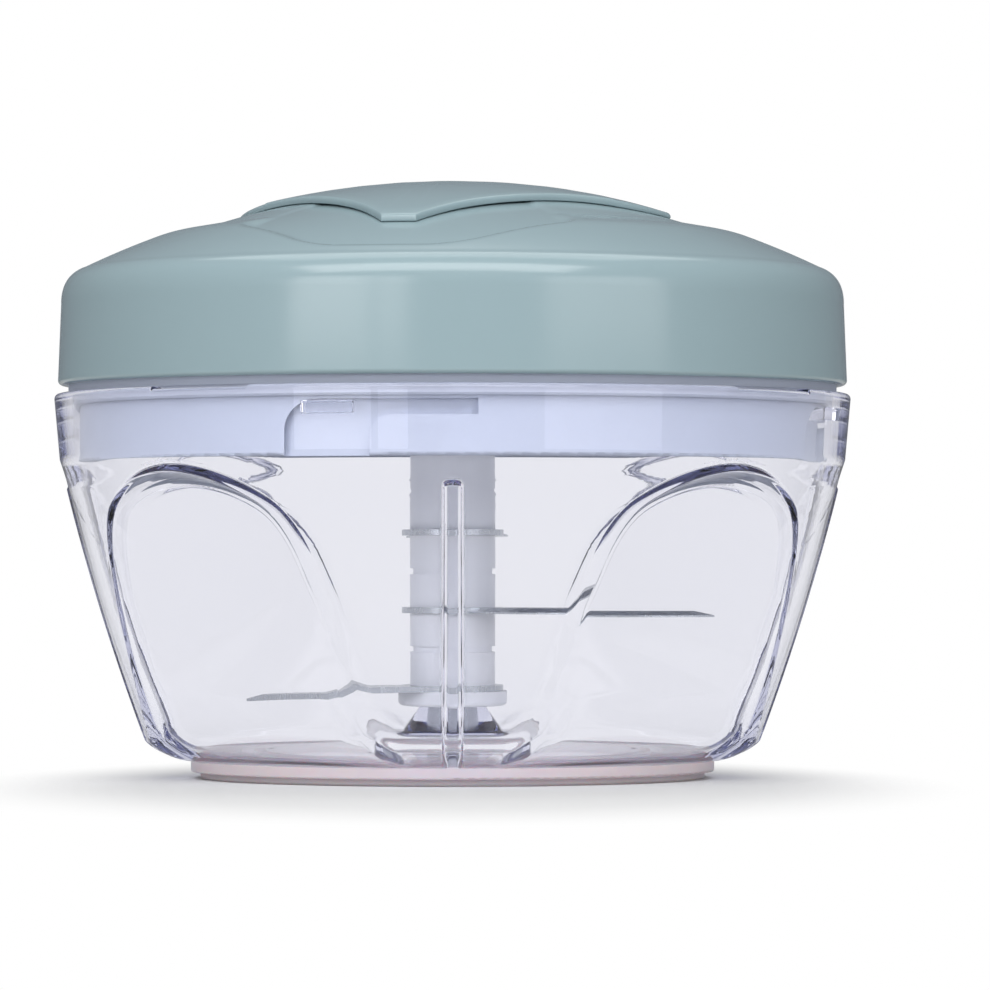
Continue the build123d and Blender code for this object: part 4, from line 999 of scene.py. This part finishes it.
# Pull handle, sizes in metres. The waist's points are shares of the tip's and the lip's reach.
HANDLE_TURN = math.radians(-11.0)
HANDLE_CREASE = 35.0
HANDLE_RADIUS = 0.1320
HANDLE_CENTRE = -0.0336
HANDLE_EDGE = 0.00112
HANDLE_EDGE_ROUND = 0.0006
HANDLE_EDGE_FOOT = 0.0002
HANDLE_TIP = 0.0365
HANDLE_TIP_START = 0.029
HANDLE_TIP_HALF = 0.012
HANDLE_TIP_DROP = 0.0004
HANDLE_TIP_THINNER = 0.0003
HANDLE_LIP = 0.0448
HANDLE_LIP_HALF = 0.0028
HANDLE_WAIST = ((0.203, 0.844), (0.422, 0.623), (0.694, 0.362), (0.930, 0.132))
HANDLE_QUARTER_POINTS = 72
HANDLE_TOP_SHARES = (0.2, 0.4, 0.6, 0.75, 0.86, 0.93)
HANDLE_ROUND_BENDS = (0.0, 18.0, 36.0, 54.0, 72.0, 90.0)
HANDLE_FOOT_BENDS = (90.0, 45.0, 0.0)
HANDLE_CORE = 0.0270
HANDLE_CORE_INNER = 0.0255
HANDLE_FLOOR = 0.0894
HANDLE_CORE_STEPS = (
    (HANDLE_CORE, HANDLE_FLOOR + 0.0002), (HANDLE_CORE - 0.0002, HANDLE_FLOOR), (HANDLE_CORE_INNER, HANDLE_FLOOR),
)
HANDLE_SHELL = 0.0019
HANDLE_HOLLOW_RINGS = (HANDLE_CORE_INNER, 0.0170, 0.0085, 0.0)


def handle_outline():
    """Plan of the handle, all the way round."""
    waist = [(x * HANDLE_TIP, y * HANDLE_LIP) for x, y in HANDLE_WAIST]
    lip, tip = (HANDLE_LIP_HALF, HANDLE_LIP), (HANDLE_TIP, 0.0)
    quarter = natural_spline([lip, *waist, tip], HANDLE_QUARTER_POINTS)
    middle = [(HANDLE_LIP_HALF * s, HANDLE_LIP) for s in (0.5, 0.0, -0.5)]
    upper = [tuple(p) for p in quarter[::-1]] + middle + [(-x, y) for x, y in quarter]
    return np.array(upper + [(-x, -y) for x, y in upper[1:-1]])


def make_handle_mesh():
    """Pull handle: a lens with rounded edges over a round core that is open below."""
    plan = handle_outline()
    reach = np.hypot(*plan.T)
    turn = np.arctan2(plan[:, 1], plan[:, 0]) + HANDLE_TURN
    tip = step_between(reach, HANDLE_TIP_START, HANDLE_TIP) * (np.abs(plan[:, 1]) < HANDLE_TIP_HALF)
    thick = HANDLE_EDGE - HANDLE_TIP_THINNER * tip

    def upper(away):
        """Level of the top, a little lower towards the tips."""
        drop = HANDLE_TIP_DROP * tip * (away / reach) ** 4
        return sphere_level(HANDLE_RADIUS, HANDLE_CENTRE, away) - drop

    rows = [(0 * reach, upper(0 * reach))]
    for share in HANDLE_TOP_SHARES:
        away = share * (reach - HANDLE_EDGE_ROUND)
        rows.append((away, upper(away)))
    for bend in HANDLE_ROUND_BENDS:
        around = math.radians(bend)
        away = reach - HANDLE_EDGE_ROUND * (1 - math.sin(around))
        rows.append((away, upper(away) - HANDLE_EDGE_ROUND * (1 - math.cos(around))))
    foot = upper(reach) - thick
    for bend in HANDLE_FOOT_BENDS:
        around = math.radians(bend)
        away = reach - HANDLE_EDGE_FOOT * (1 - math.sin(around))
        rows.append((away, foot + HANDLE_EDGE_FOOT * (1 - math.cos(around))))
    for share in (0.5, 1.0):
        inward = away + share * (HANDLE_CORE - away)
        rows.append((inward, upper(inward) - thick - share * (HANDLE_EDGE - thick)))
    rows += HANDLE_CORE_STEPS
    for away in HANDLE_HOLLOW_RINGS:
        rows.append((away, sphere_level(HANDLE_RADIUS - HANDLE_SHELL, HANDLE_CENTRE, away)))
    places = np.array([around_axis(away, turn, level) for away, level in rows])
    return round_object("lens_handle", places, HANDLE_CREASE)


# Cord between the eyelet and the handle
CORD_RINGS = 49
CORD_SIDES = 24
CORD_CREASE = 50.0


def make_pull_cord(braided):
    """Cord from the eyelet to the handle, with rings that lie evenly once the handle is pulled."""
    low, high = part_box("cord_tail")
    middle = (low + high) / 2
    radius = (high[0] - low[0]) / 2
    pulled = np.linspace(0.0, 1.0, CORD_RINGS)
    levels = low[2] + (high[2] - low[2]) * (0.5 - np.sin(np.arcsin(1.0 - 2.0 * pulled) / 3))
    rings = [(0.0, levels[0])] + [(radius, level) for level in levels] + [(0.0, levels[-1])]
    rows = turned_rows(rings, CORD_SIDES) + np.array([middle[0], middle[1], 0.0])
    cord = round_object("pull_cord", rows, CORD_CREASE)
    cord.data.materials.append(braided)
    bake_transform(cord)
    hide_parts("cord_tail")


# Studio. A front lamp has its left and right turn from the camera, in degrees, and its share of the
# radiance; a high lamp has its place, its width and its height.
LIGHT_BOUNCES = 24
GLANCE = 0.45
ROOM_COLOUR = "E4E8F6"
FLOOR_PAINT = (0.72, 0.72, 0.72, 1.0)
FLOOR_GLOW = 0.02
SHADOW_PLACE = (0.0, 0.04, 0.0)
SHADOW_STRETCH = (1.8, 1.0, 1.0)
SHADOW_FULL = 0.08
SHADOW_END = 0.15
FRONT_LAMPS = (
    ("left_lamp", -46.0, -23.0, 1.0), ("narrow_lamp", -21.0, -12.5, 0.8), ("right_lamp", 26.0, 62.0, 0.6),
)
HIGH_LAMPS = (
    ("upper_lamp", (-0.05, -0.72, 0.98), 1.5, 0.55), ("top_lamp", (0.0, 0.36, 1.05), 1.0, 0.7),
)
HIGH_LAMP_TARGET = (0.0, 0.0, 0.05)


def seen_through(tree, path):
    """Mask of the rays that look through the clear bowl or glance about inside its walls."""
    inside = maths(tree, "GREATER_THAN", path["Transmission Depth"], 0.5)
    glancing = maths(tree, "MULTIPLY", maths(tree, "MULTIPLY", path["Is Glossy Ray"], inside), GLANCE)
    return maths(tree, "MAXIMUM", path["Is Transmission Ray"], glancing)


def make_world(settings):
    """White for what the camera sees, a dimmer room for gloss and an even light for the rest."""
    world = bpy.data.worlds.new("Studio")
    bpy.context.scene.world = world
    tree = empty_tree(world)
    path = add(tree, "ShaderNodeLightPath").outputs
    seen = maths(tree, "MAXIMUM", path["Is Camera Ray"], seen_through(tree, path))
    white, room, light = (
        put(add(tree, "ShaderNodeBackground"), Color=tint, Strength=strength).outputs[0]
        for tint, strength in ((WHITE, 1.0), (srgb(ROOM_COLOUR), settings.mirror), (WHITE, settings.ambient))
    )
    other = mix_shaders(tree, path["Is Glossy Ray"], light, room)
    put(add(tree, "ShaderNodeOutputWorld"), Surface=mix_shaders(tree, seen, other, white))


def make_floor(settings):
    """Floor that keeps the chopper's shadow, and is white to the camera further out."""
    size = settings.floor_size / 2
    corners = [(-size, -size, 0), (size, -size, 0), (size, size, 0), (-size, size, 0)]
    floor = new_object("floor", corners, [(0, 1, 2, 3)])
    material = bpy.data.materials.new("Floor")
    tree = empty_tree(material)
    path = add(tree, "ShaderNodeLightPath").outputs
    seen = maths(tree, "MAXIMUM", path["Is Camera Ray"], path["Is Glossy Ray"])
    paint = put(add(tree, "ShaderNodeBsdfDiffuse"), Color=FLOOR_PAINT)
    glow = put(add(tree, "ShaderNodeEmission"), Strength=maths(tree, "MULTIPLY", seen, FLOOR_GLOW))
    total = add(tree, "ShaderNodeAddShader")
    feed(total.inputs[0], paint.outputs[0])
    feed(total.inputs[1], glow.outputs[0])
    oval = mapped(tree, object_place(tree), Location=SHADOW_PLACE, Scale=SHADOW_STRETCH)
    away = add(tree, "ShaderNodeVectorMath", operation="LENGTH")
    feed(away.inputs[0], oval)
    far = add(tree, "ShaderNodeMapRange", interpolation_type="SMOOTHSTEP")
    put(far, Value=away.outputs["Value"], From_Min=SHADOW_FULL, From_Max=SHADOW_END)
    outside = maths(tree, "MULTIPLY", far.outputs["Result"], path["Is Camera Ray"])
    share = maths(tree, "MAXIMUM", outside, seen_through(tree, path))
    white = put(add(tree, "ShaderNodeEmission"), Color=WHITE, Strength=1.0)
    surface = mix_shaders(tree, share, total.outputs[0], white.outputs[0])
    put(add(tree, "ShaderNodeOutputMaterial"), Surface=surface)
    floor.data.materials.append(material)


def make_lamp(name, place, target, width, height, radiance):
    """Soft rectangular lamp that shines from a place at a target."""
    data = bpy.data.lights.new(name, "AREA")
    data.shape = "RECTANGLE"
    data.size = width
    data.size_y = height
    data.energy = radiance * math.pi * width * height
    lamp = bpy.data.objects.new(name, data)
    lamp.location = place
    lamp.rotation_euler = (Vector(target) - Vector(place)).to_track_quat("-Z", "Y").to_euler()
    bpy.context.scene.collection.objects.link(lamp)


def make_lamps(settings):
    """Lamps in front, which gloss shows as upright bands, and lamps high in front and above."""
    for name, low, high, part in FRONT_LAMPS:
        away = math.radians((low + high) / 2)
        place = Vector((math.sin(away), -math.cos(away), 0.0)) * settings.lamp_distance
        place.z = settings.lamp_foot + settings.lamp_height / 2
        width = 2 * settings.lamp_distance * math.tan(math.radians((high - low) / 2))
        make_lamp(name, place, (0.0, 0.0, place.z), width, settings.lamp_height, part * settings.front_lamp)
    for name, place, width, height in HIGH_LAMPS:
        make_lamp(name, place, HIGH_LAMP_TARGET, width, height, getattr(settings, name))


def make_camera(settings):
    """Camera at the photograph's angle."""
    data = bpy.data.cameras.new("Camera")
    data.lens = settings.lens
    data.sensor_width = 36.0
    data.dof.use_dof = False
    data.clip_start = 0.01
    data.clip_end = 50.0
    camera = bpy.data.objects.new("Camera", data)
    camera.location = (0.0, -settings.camera_distance, settings.camera_height)
    aim = Vector((settings.aim_side, 0.0, settings.aim_height))
    camera.rotation_euler = (aim - camera.location).to_track_quat("-Z", "Y").to_euler()
    bpy.context.scene.collection.objects.link(camera)
    bpy.context.scene.camera = camera


# Operators, one for each piece or group of pieces
class CHOPPER_OT_stage(bpy.types.Operator):
    """Make the camera, the lamps, the floor and the white background."""

    bl_idname = "chopper.stage"
    bl_label = "Stage"

    def execute(self, context):
        settings = context.scene.chopper_studio
        make_camera(settings)
        make_world(settings)
        make_floor(settings)
        make_lamps(settings)
        context.scene.view_settings.view_transform = "Standard"
        context.scene.cycles.max_bounces = LIGHT_BOUNCES
        context.scene.cycles.glossy_bounces = LIGHT_BOUNCES
        context.scene.cycles.transmission_bounces = LIGHT_BOUNCES
        return {"FINISHED"}


class CHOPPER_OT_bowl(bpy.types.Operator):
    """Make the clear bowl with four flats, four ribs, a collar and lugs."""

    bl_idname = "chopper.bowl"
    bl_label = "Clear bowl"

    def execute(self, context):
        settings = context.scene.chopper_bowl
        clear = finish_clear("Clear plastic", settings.tint, settings.depth_tint, settings.depth)
        finish_piece(make_bowl_mesh(settings), clear, "bowl", "clear_plastic", "bowl")
        return {"FINISHED"}


class CHOPPER_OT_foot(bpy.types.Operator):
    """Dress the milky ring under the bowl."""

    bl_idname = "chopper.foot"
    bl_label = "Foot ring"

    def execute(self, context):
        milky = finish_plastic(
            "Milky silicone", context.scene.chopper_bowl.foot_colour, 0.42, tone=0.05, peel=0.2,
            Subsurface_Weight=0.35, Subsurface_Scale=0.004,
        )
        dress(milky, "foot_silicone", "base_ring")
        return {"FINISHED"}


class CHOPPER_OT_lid(bpy.types.Operator):
    """Make the lid's cover and dress its base and its seal."""

    bl_idname = "chopper.lid"
    bl_label = "Lid"

    def execute(self, context):
        settings = context.scene.chopper_lid
        cover = make_cover_mesh(settings)
        finish_piece(cover, sage_plastic(settings), "lid", "sage_plastic", "lid_cover")
        dress(white_plastic(settings), "white_plastic", "lid_base")
        dress(finish_plastic("Seal silicone", settings.seal, 0.6), "seal_silicone", "lid_gasket")
        return {"FINISHED"}


class CHOPPER_OT_handle(bpy.types.Operator):
    """Make the pull handle and dress its plate."""

    bl_idname = "chopper.handle"
    bl_label = "Handle"

    def execute(self, context):
        settings = context.scene.chopper_lid
        finish_piece(make_handle_mesh(), sage_plastic(settings), "handle", "sage_plastic", "pull_handle")
        dress(white_plastic(settings), "white_plastic", "handle_base")
        return {"FINISHED"}


class CHOPPER_OT_rotor(bpy.types.Operator):
    """Dress the hub, the spacers, the cap and the blades."""

    bl_idname = "chopper.rotor"
    bl_label = "Rotor"

    def execute(self, context):
        settings = context.scene.chopper_inside
        white = finish_plastic("Rotor plastic", settings.rotor, 0.35, tone=0.03)
        dress(white, "white_plastic", "blade_hub", "lower_sleeve", "upper_sleeve", "hub_cap")
        blade = finish_steel("Blade steel", settings.blade, 0.26)
        dress(blade, "blade_steel", "lower_blade", "middle_blade", "upper_blade")
        return {"FINISHED"}


class CHOPPER_OT_drive(bpy.types.Operator):
    """Dress the spindle, the reel, its spring, the axle and the screws."""

    bl_idname = "chopper.drive"
    bl_label = "Drive"

    def execute(self, context):
        settings = context.scene.chopper_inside
        inner = finish_plastic("Inner plastic", settings.inner, 0.5)
        dark = finish_plastic("Dark plastic", settings.dark, 0.45)
        bright = finish_steel("Bright steel", settings.bright, 0.22)
        strip = finish_steel("Spring steel", settings.spring, 0.3)
        dress(
            inner, "inner_plastic", "bearing_bush", "drive_spindle", "cord_reel", "spring_cover", "cord_guide"
        )
        dress(dark, "dark_plastic", "pawl_ring", "ratchet_ring")
        dress(
            bright, "bright_steel", "pivot_pin", "reel_axle", "axle_washer", "axle_screw", "lid_screws",
            "handle_screws", "cord_eyelet",
        )
        dress(strip, "spring_steel", "spindle_clip", "recoil_spring")
        return {"FINISHED"}


class CHOPPER_OT_cord(bpy.types.Operator):
    """Make the cord up to the handle and dress its winding, its lead and its knot."""

    bl_idname = "chopper.cord"
    bl_label = "Cord"

    def execute(self, context):
        braided = finish_cord("Braided cord", context.scene.chopper_inside.cord)
        make_pull_cord(braided)
        dress(braided, "cord", "wound_cord", "cord_lead", "cord_knot")
        return {"FINISHED"}


OPERATORS = (
    CHOPPER_OT_stage, CHOPPER_OT_bowl, CHOPPER_OT_foot, CHOPPER_OT_lid, CHOPPER_OT_handle, CHOPPER_OT_rotor,
    CHOPPER_OT_drive, CHOPPER_OT_cord,
)


class CHOPPER_PT_pieces(bpy.types.Panel):
    """Buttons that make the chopper's pieces."""

    bl_label = "Food chopper"
    bl_space_type = "VIEW_3D"
    bl_region_type = "UI"
    bl_category = "Chopper"

    def draw(self, context):
        for kind in OPERATORS:
            self.layout.operator(kind.bl_idname)


SETTINGS = {
    "chopper_studio": ChopperStudio, "chopper_bowl": ChopperBowl, "chopper_lid": ChopperLid,
    "chopper_inside": ChopperInside,
}
CLASSES = (*SETTINGS.values(), *OPERATORS, CHOPPER_PT_pieces)


def register():
    for kind in CLASSES:
        bpy.utils.register_class(kind)
    for name, kind in SETTINGS.items():
        setattr(bpy.types.Scene, name, PointerProperty(type=kind))


def unregister():
    for name in SETTINGS:
        delattr(bpy.types.Scene, name)
    for kind in reversed(CLASSES):
        bpy.utils.unregister_class(kind)


def main():
    register()
    bpy.ops.chopper.stage()
    bpy.ops.chopper.bowl()
    bpy.ops.chopper.foot()
    bpy.ops.chopper.lid()
    bpy.ops.chopper.handle()
    bpy.ops.chopper.rotor()
    bpy.ops.chopper.drive()
    bpy.ops.chopper.cord()


if __name__ == "__main__":
    main()
